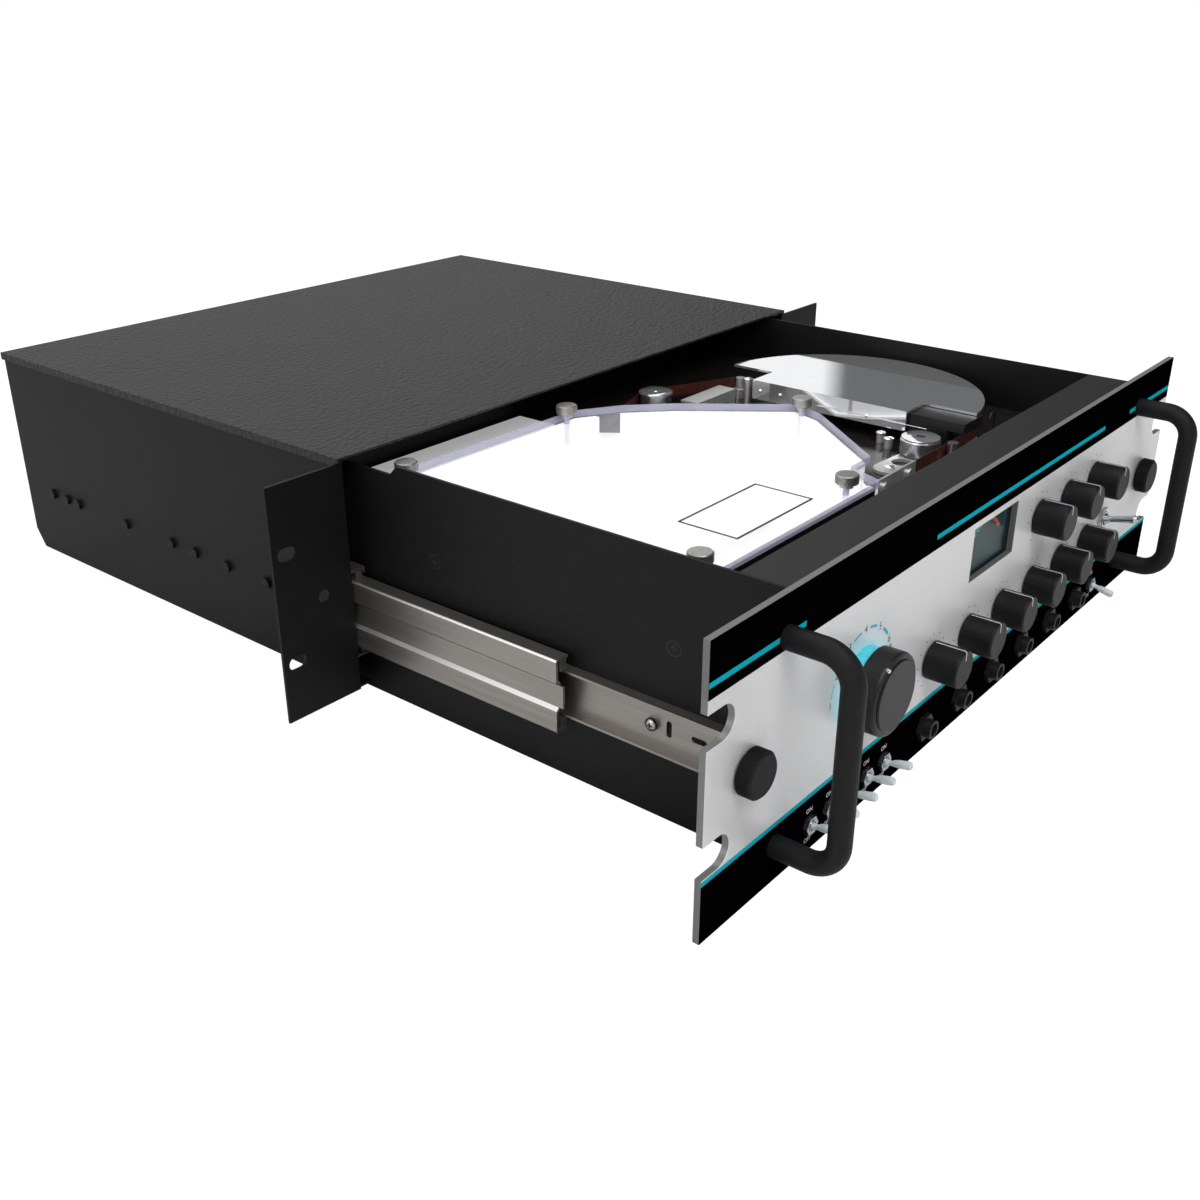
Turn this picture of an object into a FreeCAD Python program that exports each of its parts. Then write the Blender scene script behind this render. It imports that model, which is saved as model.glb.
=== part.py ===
import FreeCAD, Part
import math
import os
import Sketcher

doc = FreeCAD.newDocument("tape_echo")
sheet = doc.addObject("Spreadsheet::Sheet", "Sizes")
axis_x = FreeCAD.Vector(1, 0, 0)
axis_y = FreeCAD.Vector(0, 1, 0)
axis_z = FreeCAD.Vector(0, 0, 1)
full_turn = 360
nodes = []
sheet_rows = []


class Size:
    """A length that carries both its number and the sheet formula behind it."""

    def __init__(self, number, text):
        self.number = float(number)
        self.text = text

    def __add__(self, other):
        other = as_size(other)
        return Size(self.number + other.number, f"({self.text} + {other.text})")

    def __radd__(self, other):
        return as_size(other) + self

    def __sub__(self, other):
        other = as_size(other)
        return Size(self.number - other.number, f"({self.text} - {other.text})")

    def __rsub__(self, other):
        return as_size(other) - self

    def __mul__(self, other):
        other = as_size(other)
        return Size(self.number * other.number, f"({self.text} * {other.text})")

    def __rmul__(self, other):
        return as_size(other) * self

    def __truediv__(self, other):
        other = as_size(other)
        return Size(self.number / other.number, f"({self.text} / {other.text})")

    def __neg__(self):
        return Size(-self.number, f"(0 - {self.text})")


def as_size(thing):
    if isinstance(thing, Size):
        return thing
    return Size(thing, f"({float(thing):.9g})")


def size(name, number, note):
    """Writes one driving dimension in the sheet and returns it."""
    row = len(sheet_rows) + 1
    sheet_rows.append(name)
    sheet.set(f"A{row}", name)
    sheet.set(f"B{row}", str(number))
    sheet.set(f"C{row}", note)
    sheet.setAlias(f"B{row}", name)
    return Size(number, f"Sizes.{name}")


# Rack panel and sleeve
panel_width = size("panel_width", 482.6, "19 inch rack panel")
panel_height = size("panel_height", 132.5, "three rack units")
panel_thick = size("panel_thick", 3.2, "aluminium plate")
notch_radius = size("notch_radius", 7.6, "open notch for the rack screw heads")
notch_depth = size("notch_depth", 17.9, "edge to the round end of the notch")
slot_span = size("slot_span", 465.1, "rack hole spacing across")
slot_rise = size("slot_rise", 57.15, "rack hole spacing up")
slot_length = size("slot_length", 10.3, "ear slot overall")
slot_height = size("slot_height", 6.8, "ear slot across")
ear_edge = size("ear_edge", 3.2, "ear beyond its slots")
ear_height = size("ear_height", 122.9, "ears and sides")
ear_rise = size("ear_rise", 63.7, "ear top above the slot centre")
sleeve_width = size("sleeve_width", 393.4, "over the side plates")
sleeve_depth = size("sleeve_depth", 307.6, "ear face to the rear")
side_sheet = size("side_sheet", 1.5, "side plate steel")
side_flange = size("side_flange", 8.5, "turned edges of the side plates")
cover_sheet = size("cover_sheet", 1.2, "cover steel")
cover_lip = size("cover_lip", 4.2, "folded edge of the cover")
cover_top = size("cover_top", 66.25, "cover top above the slot centre")
rear_cut_rise = size("rear_cut_rise", 11.0, "slanted lower rear corner, up")
rear_cut_run = size("rear_cut_run", 7.3, "slanted lower rear corner, along")
rear_sheet = size("rear_sheet", 1.5, "sleeve rear panel")
rear_window_width = size("rear_window_width", 330.0, "socket window in the sleeve rear")
rear_window_height = size("rear_window_height", 74.0, "socket window in the sleeve rear")
captive_hole = size("captive_hole", 3.2, "threaded hole radius in the ear")
sleeve_screw_radius = size("sleeve_screw_radius", 3.1, "pan head")
sleeve_screw_head = size("sleeve_screw_head", 1.9, "pan head height")

# Drawer slides
slide_width = size("slide_width", 12.7, "between side plate and drawer wall")
slide_drop = size("slide_drop", 18.0, "slide centre below the slot centre")
slide_inset = size("slide_inset", 1.7, "outer rail behind the ear face")
rail_sheet = size("rail_sheet", 1.2, "rail steel")
outer_rail_height = size("outer_rail_height", 48.0, "outer rail")
middle_rail_height = size("middle_rail_height", 37.0, "middle rail")
inner_rail_height = size("inner_rail_height", 23.6, "inner rail")
rail_web_gap = size("rail_web_gap", 0.5, "between the outer and middle webs")
middle_rail_flange = size("middle_rail_flange", 8.4, "middle rail flange")
inner_rail_flange = size("inner_rail_flange", 5.6, "inner rail flange")
outer_rail_lip = size("outer_rail_lip", 3.2, "turned lip of the outer rail")
groove_half = size("groove_half", 7.2, "half the band sunk in the middle rail web")
groove_depth = size("groove_depth", 1.6, "how far the band is sunk")
rail_tongue = size("rail_tongue", 2.5, "band ahead of the middle rail end")
rail_bend = size("rail_bend", 0.8, "outside bend of the middle rail")
cage_gap = size("cage_gap", 0.3, "running gap at the ball cages")
cage_length = size("cage_length", 110.0, "ball cage")
middle_rail_reach = size("middle_rail_reach", 132.5, "middle rail ahead of the ear face")

# Drawer
open_travel = size("open_travel", 243.0, "panel back to ear face, drawer out")
drawer_depth = size("drawer_depth", 296.0, "panel back to drawer rear")
drawer_sheet = size("drawer_sheet", 1.5, "drawer steel")
drawer_top = size("drawer_top", 63.5, "wall top above the slot centre")
drawer_drop = size("drawer_drop", 65.2, "drawer floor below the slot centre")
wall_step = size("wall_step", 5.0, "lower stretch of the left wall")
wall_step_from = size("wall_step_from", 219.0, "start of the lower stretch")
wall_step_run = size("wall_step_run", 5.0, "slope of the step")
ledge_depth = size("ledge_depth", 25.3, "ledge behind the panel")
ledge_drop = size("ledge_drop", 12.0, "turned rear edge of the ledge")
rear_wall_height = size("rear_wall_height", 118.0, "drawer rear panel")
rear_socket_rise = size("rear_socket_rise", 55.0, "rear sockets above the drawer floor")
side_screw_radius = size("side_screw_radius", 3.6, "countersunk head")
side_screw_front = size("side_screw_front", 54.6, "front screw behind the panel")
side_screw_rear = size("side_screw_rear", 196.2, "rear screw behind the panel")
side_screw_rise = size("side_screw_rise", 20.75, "above the slot centre")
rail_screw_back = size("rail_screw_back", 63.8, "pan head on the inner rail")

# Front controls
handle_spread = size("handle_spread", 380.0, "between the two handles")
handle_span = size("handle_span", 95.5, "between the feet of a handle")
handle_reach = size("handle_reach", 29.8, "grip axis ahead of the panel")
handle_radius = size("handle_radius", 5.1, "round bar")
handle_bend = size("handle_bend", 13.0, "bend of the bar axis")
thumb_spread = size("thumb_spread", 426.4, "between the captive screws")
thumb_radius = size("thumb_radius", 9.8, "knurled head")
thumb_length = size("thumb_length", 7.4, "knurled head")
thumb_gap = size("thumb_gap", 0.4, "head to panel")
thumb_bevel = size("thumb_bevel", 0.9, "head bevel")
thumb_shank = size("thumb_shank", 2.8, "shank radius")
thumb_shank_length = size("thumb_shank_length", 9.0, "shank behind the panel")
bore_clearance = size("bore_clearance", 0.08, "turning shafts in their bores")
mode_across = size("mode_across", 125.6, "mode knob left of centre")
mode_radius = size("mode_radius", 19.0, "mode knob")
mode_length = size("mode_length", 10.3, "mode knob")
collar_radius = size("collar_radius", 17.6, "lit collar")
collar_length = size("collar_length", 5.8, "lit collar")
mode_gap = size("mode_gap", 0.3, "mode knob to collar")
knob_radius = size("knob_radius", 9.4, "small knob")
knob_length = size("knob_length", 16.3, "small knob")
knob_gap = size("knob_gap", 0.8, "small knob to panel")
knob_first = size("knob_first", 57.0, "first knob left of centre")
knob_pitch = size("knob_pitch", 37.5, "knob spacing")
knob_low = size("knob_low", 16.1, "lower row below centre")
knob_high = size("knob_high", 21.4, "upper row above centre")
knob_shaft = size("knob_shaft", 3.0, "control shaft radius")
shaft_reach = size("shaft_reach", 11.0, "shaft inside a knob")
pot_radius = size("pot_radius", 8.2, "control body")
pot_length = size("pot_length", 11.0, "control body")
jack_drop = size("jack_drop", 52.5, "jacks and small toggles below centre")
jack_radius = size("jack_radius", 7.2, "jack nut")
jack_length = size("jack_length", 6.0, "jack nut ahead of the panel")
jack_bore = size("jack_bore", 3.25, "jack bore radius")
jack_body = size("jack_body", 26.0, "jack behind the panel")
jack_bush = size("jack_bush", 4.8, "jack bush radius in the panel")
toggle_first = size("toggle_first", 162.0, "first toggle left of centre")
toggle_pitch = size("toggle_pitch", 16.25, "toggle spacing")
toggle_right = size("toggle_right", 155.0, "lone toggle right of centre")
toggle_nut = size("toggle_nut", 4.6, "small toggle nut radius")
toggle_bush = size("toggle_bush", 2.9, "small toggle bush radius")
toggle_lever = size("toggle_lever", 12.4, "lever ahead of its pivot")
toggle_tip = size("toggle_tip", 1.9, "lever tip radius")
toggle_root = size("toggle_root", 1.2, "lever root radius")
toggle_tilt = size("toggle_tilt", 13.0, "lever angle at rest, degrees")
nut_thick = size("nut_thick", 2.2, "panel nuts")
power_across = size("power_across", 157.0, "power toggle right of centre")
power_drop = size("power_drop", 11.2, "power toggle below centre")
power_nut = size("power_nut", 7.0, "power toggle nut radius")
power_bush = size("power_bush", 5.0, "power toggle bush radius")
power_lever = size("power_lever", 19.0, "power lever")
power_tip = size("power_tip", 2.4, "power lever tip radius")
meter_width = size("meter_width", 49.6, "meter window")
meter_height = size("meter_height", 27.8, "meter window")
meter_across = size("meter_across", 0.7, "window centre right of centre")
meter_rise = size("meter_rise", 25.05, "window centre above centre")
meter_wall = size("meter_wall", 2.0, "meter case wall")
meter_depth = size("meter_depth", 21.0, "meter case")
meter_rim = size("meter_rim", 4.0, "meter case beyond the window")
glass_thick = size("glass_thick", 1.6, "meter glass")

# Tape transport
deck_top = size("deck_top", 33.75, "deck above the slot centre")
deck_sheet = size("deck_sheet", 2.0, "deck plate")
deck_flange = size("deck_flange", 18.0, "turned edges of the deck")
deck_front = size("deck_front", 27.0, "deck front behind the panel")
deck_rear = size("deck_rear", 291.0, "deck rear behind the panel")
bin_floor = size("bin_floor", 1.5, "tape bin floor")
bin_wall_height = size("bin_wall_height", 12.5, "tape bin wall")
bin_wall_thick = size("bin_wall_thick", 2.5, "tape bin wall")
bin_left = size("bin_left", 174.0, "bin left of centre")
bin_front = size("bin_front", 47.8, "bin front behind the panel")
bin_back = size("bin_back", 238.8, "bin back behind the panel")
bin_point = size("bin_point", 57.9, "bin point right of centre")
bin_point_back = size("bin_point_back", 145.4, "bin point behind the panel")
bin_slot = size("bin_slot", 24.7, "tape slot left of centre")
bin_slot_depth = size("bin_slot_depth", 21.0, "tape slot into the bin")
cover_plate = size("cover_plate", 4.0, "clear bin cover")
cover_over = size("cover_over", 2.0, "cover beyond the bin wall")
stud_radius = size("stud_radius", 1.5, "bin stud")
stud_left = size("stud_left", 164.0, "left studs left of centre")
stud_middle = size("stud_middle", 43.0, "middle studs left of centre")
stud_right = size("stud_right", 52.0, "right stud right of centre")
stud_front = size("stud_front", 55.8, "front studs behind the panel")
stud_back = size("stud_back", 232.3, "back studs behind the panel")
stud_point = size("stud_point", 138.8, "right stud behind the panel")
nut_radius = size("nut_radius", 5.6, "knurled nut")
nut_height = size("nut_height", 5.0, "knurled nut")
nut_neck = size("nut_neck", 1.7, "nut neck height")
nut_neck_radius = size("nut_neck_radius", 3.4, "nut neck")
tape_width = size("tape_width", 6.35, "quarter inch tape")
tape_rise = size("tape_rise", 5.5, "tape edge above the deck")
tape_thick = size("tape_thick", 0.3, "tape ribbon, thickened")
post_radius = size("post_radius", 3.0, "tape post")
post_cap = size("post_cap", 4.2, "tape post cap")
post_across = size("post_across", 101.5, "corner posts right of centre")
post_front = size("post_front", 58.8, "front post behind the panel")
post_back = size("post_back", 212.8, "back post behind the panel")
idler_across = size("idler_across", 39.7, "idler roller")
idler_back = size("idler_back", 232.8, "idler roller")
idler_radius = size("idler_radius", 9.5, "idler roller")
flange_radius = size("flange_radius", 10.4, "idler roller flanges")
pinch_across = size("pinch_across", 65.3, "pinch roller")
pinch_back = size("pinch_back", 71.0, "pinch roller")
pinch_radius = size("pinch_radius", 11.0, "pinch roller")
pinch_height = size("pinch_height", 9.6, "pinch roller")
arm_across = size("arm_across", 35.6, "pinch arm pivot")
arm_back = size("arm_back", 73.3, "pinch arm pivot")
arm_thick = size("arm_thick", 1.8, "pinch arm")
arm_width = size("arm_width", 17.0, "pinch arm")
capstan_radius = size("capstan_radius", 3.0, "capstan")
capstan_across = size("capstan_across", 65.0, "capstan")
shield_radius = size("shield_radius", 81.5, "round head shield")
shield_across = size("shield_across", 94.0, "round edge centre")
shield_back = size("shield_back", 137.8, "round edge centre behind the panel")
shield_sheet = size("shield_sheet", 1.4, "shield steel")
shield_rise = size("shield_rise", 53.0, "shield top above the slot centre")
shield_edge = size("shield_edge", 80.5, "straight edge right of centre")
shield_notch = size("shield_notch", 102.5, "tips of the shield right of centre")
shield_fold = size("shield_fold", 10.0, "turned edge of the shield")
shield_fold_front = size("shield_fold_front", 88.5, "turned edge behind the panel")
shield_fold_back = size("shield_fold_back", 190.5, "turned edge behind the panel")
head_width = size("head_width", 14.0, "tape head")
head_depth = size("head_depth", 13.0, "tape head")
head_height = size("head_height", 11.0, "tape head")
head_pitch = size("head_pitch", 23.0, "tape head spacing")
head_first = size("head_first", 104.0, "first head behind the panel")
seat_gap = size("seat_gap", 0.3, "small running or laying gap")

# Inside the drawer
motor_radius = size("motor_radius", 24.0, "drive motor")
motor_height = size("motor_height", 46.0, "drive motor")
board_thick = size("board_thick", 1.6, "circuit board")
board_rise = size("board_rise", 8.0, "board above the drawer floor")
board_width = size("board_width", 190.0, "main board")
board_depth = size("board_depth", 150.0, "main board")
part_column = size("part_column", 34.0, "board parts, spacing across")
part_row = size("part_row", 45.0, "board parts, spacing along")
part_margin = size("part_margin", 26.0, "first board part from the edge")
capacitor_radius = size("capacitor_radius", 5.0, "board capacitor")
capacitor_height = size("capacitor_height", 14.0, "board capacitor")
chip_length = size("chip_length", 16.0, "board chip")
chip_width = size("chip_width", 7.0, "board chip")
chip_height = size("chip_height", 4.0, "board chip")
core_width = size("core_width", 62.0, "transformer core")
core_depth = size("core_depth", 52.0, "transformer core")
core_height = size("core_height", 66.0, "transformer core")
tank_length = size("tank_length", 226.0, "spring tank")
tank_width = size("tank_width", 66.0, "spring tank")
tank_height = size("tank_height", 33.0, "spring tank")
inlet_width = size("inlet_width", 28.0, "mains inlet")
inlet_height = size("inlet_height", 24.0, "mains inlet")
inlet_depth = size("inlet_depth", 22.0, "mains inlet")

doc.recompute()
panel_half = panel_width / 2
ear_width = slot_span + slot_length + 2 * ear_edge
slide_length = drawer_depth
side_face = sleeve_width / 2
side_inner = side_face - side_sheet
drawer_half = side_inner - slide_width
wall_inner = drawer_half - drawer_sheet
ear_bottom = ear_rise - ear_height
side_top = cover_top - cover_sheet
slide_mid = -slide_drop
panel_back = -open_travel
panel_front = panel_back - panel_thick
deck_under = deck_top - deck_sheet
bin_floor_top = deck_top + bin_floor
bin_wall_top = bin_floor_top + bin_wall_height
cover_under = bin_wall_top
bin_cover_top = cover_under + cover_plate
tape_low = deck_top + tape_rise
tape_high = tape_low + tape_width
tape_line = post_across + post_radius + tape_thick
tape_front = post_front - post_radius - tape_thick
capstan_back = tape_front - capstan_radius - seat_gap - seat_gap / 3
floor_top = -drawer_drop + drawer_sheet


def behind(depth):
    """A place behind the panel, with the drawer out."""
    return as_size(depth) - open_travel


def bind(thing, name, length):
    thing.setExpression(name, as_size(length).text)


def move(thing, place, turn=None):
    if turn is not None:
        thing.Placement = FreeCAD.Placement(FreeCAD.Vector(0, 0, 0), turn)
    for letter, length in zip("xyz", place):
        bind(thing, f"Placement.Base.{letter}", length)
    return thing


def node(thing, label):
    thing.Label = label
    nodes.append(thing)
    return thing


def box(name, corner, lengths):
    solid = doc.addObject("Part::Box", name)
    for side, length in zip(("Length", "Width", "Height"), lengths):
        bind(solid, side, length)
    return move(solid, corner)


def rod(name, start, radius, length, along="Z"):
    turns = {
        "X": FreeCAD.Rotation(axis_y, 90),
        "Y": FreeCAD.Rotation(axis_x, -90),
        "Z": FreeCAD.Rotation(),
    }
    solid = doc.addObject("Part::Cylinder", name)
    bind(solid, "Radius", radius)
    bind(solid, "Height", length)
    return move(solid, start, turns[along])


def join(name, parts):
    whole = doc.addObject("Part::MultiFuse", name)
    whole.Shapes = parts
    return whole


def group(name, parts):
    whole = doc.addObject("Part::Compound", name)
    whole.Links = parts
    return whole


def cut(name, base, tools):
    tool = tools[0] if len(tools) == 1 else join(name + "_tools", tools)
    result = doc.addObject("Part::Cut", name)
    result.Base = base
    result.Tool = tool
    return result


def origin_plane(body, role):
    for feature in body.Origin.OriginFeatures:
        if feature.Role == role:
            return feature
    raise ValueError(role)


def pin_point(sketch, geometry, position, place):
    """Holds one sketch point at its two lengths from the sketch origin."""
    for kind, length in zip(("DistanceX", "DistanceY"), place):
        length = as_size(length)
        item = sketch.addConstraint(
            Sketcher.Constraint(kind, -1, 1, geometry, position, length.number)
        )
        sketch.setExpression(f"Constraints[{item}]", length.text)


def draw_polygon(sketch, points):
    points = [(as_size(a), as_size(b)) for a, b in points]
    first = sketch.GeometryCount
    count = len(points)
    for index in range(count):
        start = points[index]
        end = points[(index + 1) % count]
        sketch.addGeometry(
            Part.LineSegment(
                FreeCAD.Vector(start[0].number, start[1].number, 0),
                FreeCAD.Vector(end[0].number, end[1].number, 0),
            ),
            False,
        )
    for index in range(count):
        following = first + (index + 1) % count
        sketch.addConstraint(
            Sketcher.Constraint("Coincident", first + index, 2, following, 1)
        )
    for index in range(count):
        pin_point(sketch, first + index, 1, points[index])


def draw_circle(sketch, place, radius):
    place = [as_size(length) for length in place]
    radius = as_size(radius)
    centre = FreeCAD.Vector(place[0].number, place[1].number, 0)
    item = sketch.addGeometry(Part.Circle(centre, axis_z, radius.number), False)
    pin_point(sketch, item, 3, place)
    bound = sketch.addConstraint(Sketcher.Constraint("Radius", item, radius.number))
    sketch.setExpression(f"Constraints[{bound}]", radius.text)


def new_sketch(body, name, role):
    sketch = body.newObject("Sketcher::SketchObject", name)
    sketch.AttachmentSupport = (origin_plane(body, role), [""])
    sketch.MapMode = "FlatFace"
    return sketch


def plate(name, role, outline, thick, flip=False, circles=(), windows=()):
    """A padded outline with round holes and cut windows through it."""
    body = doc.addObject("PartDesign::Body", name)
    sketch = new_sketch(body, name + "_outline", role)
    draw_polygon(sketch, outline)
    for place, radius in circles:
        draw_circle(sketch, place, radius)
    for corners in windows:
        draw_polygon(sketch, corners)
    pad = body.newObject("PartDesign::Pad", name + "_pad")
    pad.Profile = sketch
    bind(pad, "Length", thick)
    pad.Reversed = flip
    return body


def turned(name, role, profile, place, turn=None):
    """A turned piece: its half outline spun about the upright sketch axis."""
    body = doc.addObject("PartDesign::Body", name)
    sketch = new_sketch(body, name + "_half", role)
    draw_polygon(sketch, profile)
    spin = body.newObject("PartDesign::Revolution", name + "_spin")
    spin.Profile = sketch
    spin.ReferenceAxis = (sketch, ["V_Axis"])
    spin.Angle = full_turn
    move(body, place, turn)
    return body


def rectangle(left, low, right, high):
    return [(left, low), (right, low), (right, high), (left, high)]


# Sleeve side plates with their rack ears
def sleeve_side(label, side):
    outline = [
        (0, ear_bottom),
        (sleeve_depth - rear_cut_run, ear_bottom),
        (sleeve_depth, ear_bottom + rear_cut_rise),
        (sleeve_depth, side_top),
        (0, side_top),
    ]
    wall = plate(label + "_wall", "YZ_Plane", outline, side_sheet)
    inner_edge = side_inner if side > 0 else -side_face
    move(wall, (inner_edge, 0, 0))
    ear_left = side_inner if side > 0 else -ear_width / 2
    ear_across = ear_width / 2 - side_inner
    ear = box(label + "_ear", (ear_left, 0, ear_bottom), (ear_across, side_sheet, ear_height))
    lips = []
    lip_left = side_inner - side_flange if side > 0 else -side_inner
    lips.append(
        box(
            label + "_top_lip",
            (lip_left, side_sheet, side_top - side_sheet),
            (side_flange, sleeve_depth - rear_sheet - side_sheet, side_sheet),
        )
    )
    lips.append(
        box(
            label + "_low_lip",
            (lip_left, side_sheet, ear_bottom),
            (side_flange, sleeve_depth - rear_cut_run - side_sheet, side_sheet),
        )
    )
    blank = join(label + "_blank", [wall, ear] + lips)
    holes = []
    for step, rise in (("low", -slot_rise / 2), ("high", slot_rise / 2)):
        reach = (slot_length - slot_height) / 2
        middle = side * slot_span / 2
        for end, shift in (("a", -reach), ("b", reach)):
            name = f"{label}_slot_{step}_{end}"
            holes.append(rod(name, (middle + shift, -side_sheet, rise), slot_height / 2, 3 * side_sheet, "Y"))
        holes.append(
            box(
                f"{label}_slot_{step}",
                (middle - reach, -side_sheet, rise - slot_height / 2),
                (2 * reach, 3 * side_sheet, slot_height),
            )
        )
    holes.append(
        rod(label + "_captive", (side * thumb_spread / 2, -side_sheet, 0), captive_hole, 3 * side_sheet, "Y")
    )
    node(cut(label + "_cut", blank, holes), label)


sleeve_side("sleeve_side_left", -1)
sleeve_side("sleeve_side_right", 1)

# Sleeve cover: a flat top with a short folded edge on three sides
cover_half = side_face + cover_sheet
cover_rear = sleeve_depth + cover_sheet
cover_blank = box(
    "cover_blank",
    (-cover_half, 0, cover_top - cover_lip),
    (2 * cover_half, cover_rear, cover_lip),
)
cover_hollow = box(
    "cover_hollow",
    (-side_face, -cover_sheet, cover_top - cover_lip - cover_sheet),
    (2 * side_face, sleeve_depth + cover_sheet, cover_lip),
)
node(cut("cover_cut", cover_blank, [cover_hollow]), "sleeve_cover")

# Sleeve rear panel with its socket window
rear_low = ear_bottom + rear_cut_rise
rear_outline = rectangle(-side_inner, rear_low, side_inner, side_top)
window_middle = (rear_low + side_top) / 2
rear_window = rectangle(
    -rear_window_width / 2,
    window_middle - rear_window_height / 2,
    rear_window_width / 2,
    window_middle + rear_window_height / 2,
)
rear_panel = plate(
    "rear_panel_plate", "XZ_Plane", rear_outline, rear_sheet, False, (), [rear_window]
)
move(rear_panel, (0, sleeve_depth, 0))
node(rear_panel, "sleeve_rear_panel")

# Pan head screws that hold the slides to the side plates
sleeve_screw_places = (67.5, 102.0, 131.0, 153.0, 198.3, 249.3, 261.7, 277.4)
sleeve_screws = []
for side, word in ((-1, "left"), (1, "right")):
    for count, place in enumerate(sleeve_screw_places):
        head_start = side_face if side > 0 else -side_face - sleeve_screw_head
        sleeve_screws.append(
            rod(
                f"sleeve_screw_{word}_{count}",
                (head_start, place, slide_mid),
                sleeve_screw_radius,
                sleeve_screw_head,
                "X",
            )
        )
node(group("sleeve_screw_group", sleeve_screws), "sleeve_screws")


# Telescopic slides, in cross section from the side plate inward
def channel(side, web_face, web_thick, half, depth, lip=None):
    """A C section whose web stands at web_face and opens to the drawer."""
    edge = web_face - web_thick
    end = web_face - depth
    inside = half - web_thick
    points = [(web_face, -half), (web_face, half), (end, half)]
    if lip is None:
        points += [(end, inside), (edge, inside), (edge, -inside), (end, -inside)]
    else:
        low = half - lip
        points += [
            (end, low),
            (end + web_thick, low),
            (end + web_thick, inside),
            (edge, inside),
            (edge, -inside),
            (end + web_thick, -inside),
            (end + web_thick, -low),
            (end, -low),
        ]
    points.append((end, -half))
    return [(side * across, slide_mid + rise) for across, rise in points]


def outer_rail(name, side):
    outline = channel(
        side,
        side_inner,
        rail_sheet,
        outer_rail_height / 2,
        slide_width - 2 * rail_sheet,
        outer_rail_lip,
    )
    rail = plate(name, "XZ_Plane", outline, slide_length, True)
    return move(rail, (0, slide_inset, 0))


outer_rails = [outer_rail("outer_rail_a", -1), outer_rail("outer_rail_b", 1)]
node(group("outer_rail_group", outer_rails), "outer_rails")

middle_web_face = side_inner - rail_sheet - rail_web_gap
middle_start = -middle_rail_reach
outer_inside = outer_rail_height / 2 - rail_sheet
middle_half = middle_rail_height / 2
middle_inside = middle_half - rail_sheet
inner_half = inner_rail_height / 2


def middle_rail(label, side):
    face = middle_web_face
    edge = face - rail_sheet
    sunk = face - groove_depth
    sunk_edge = sunk - rail_sheet
    end = face - middle_rail_flange
    points = [
        (face - rail_bend, -middle_half),
        (face - rail_bend * 0.3, -middle_half + rail_bend * 0.3),
        (face, -middle_half + rail_bend),
        (face, -groove_half),
        (sunk, -groove_half + groove_depth),
        (sunk, groove_half - groove_depth),
        (face, groove_half),
        (face, middle_half - rail_bend),
        (face - rail_bend * 0.3, middle_half - rail_bend * 0.3),
        (face - rail_bend, middle_half),
        (end, middle_half),
        (end, middle_inside),
        (edge, middle_inside),
        (edge, groove_half + rail_sheet),
        (sunk_edge, groove_half - groove_depth + rail_sheet),
        (sunk_edge, -groove_half + groove_depth - rail_sheet),
        (edge, -groove_half - rail_sheet),
        (edge, -middle_inside),
        (end, -middle_inside),
        (end, -middle_half),
    ]
    outline = [(side * across, slide_mid + rise) for across, rise in points]
    profile = plate(label + "_profile", "XZ_Plane", outline, slide_length - rail_tongue, True)
    move(profile, (0, middle_start, 0))
    band_left = sunk_edge if side > 0 else -sunk
    band_half = groove_half - groove_depth
    tongue = box(
        label + "_tongue",
        (band_left, middle_start - rail_tongue, slide_mid - band_half),
        (rail_sheet, rail_tongue, 2 * band_half),
    )
    steel = join(label + "_steel", [profile, tongue])
    cages = []
    cage_width = middle_rail_flange / 2
    cage_inset = rail_sheet + cage_gap
    cage_left = end + cage_inset if side > 0 else -end - cage_inset - cage_width
    outer_cage_thick = outer_inside - middle_half - cage_gap
    inner_cage_thick = middle_inside - inner_half - cage_gap
    for word, sign in (("top", 1), ("low", -1)):
        outer_low = slide_mid + (middle_half if sign > 0 else -middle_half - outer_cage_thick)
        cages.append(
            box(
                f"{label}_{word}_outer_cage",
                (cage_left, seat_gap + slide_inset, outer_low),
                (cage_width, cage_length, outer_cage_thick),
            )
        )
        inner_low = slide_mid + (
            middle_inside - inner_cage_thick if sign > 0 else -middle_inside
        )
        cages.append(
            box(
                f"{label}_{word}_inner_cage",
                (cage_left, middle_start, inner_low),
                (cage_width, cage_length, inner_cage_thick),
            )
        )
    node(group(label + "_parts", [steel] + cages), label)


middle_rail("middle_rail_left", -1)
middle_rail("middle_rail_right", 1)


slot_half_length = 4.0
slot_end_radius = 1.4


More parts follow.
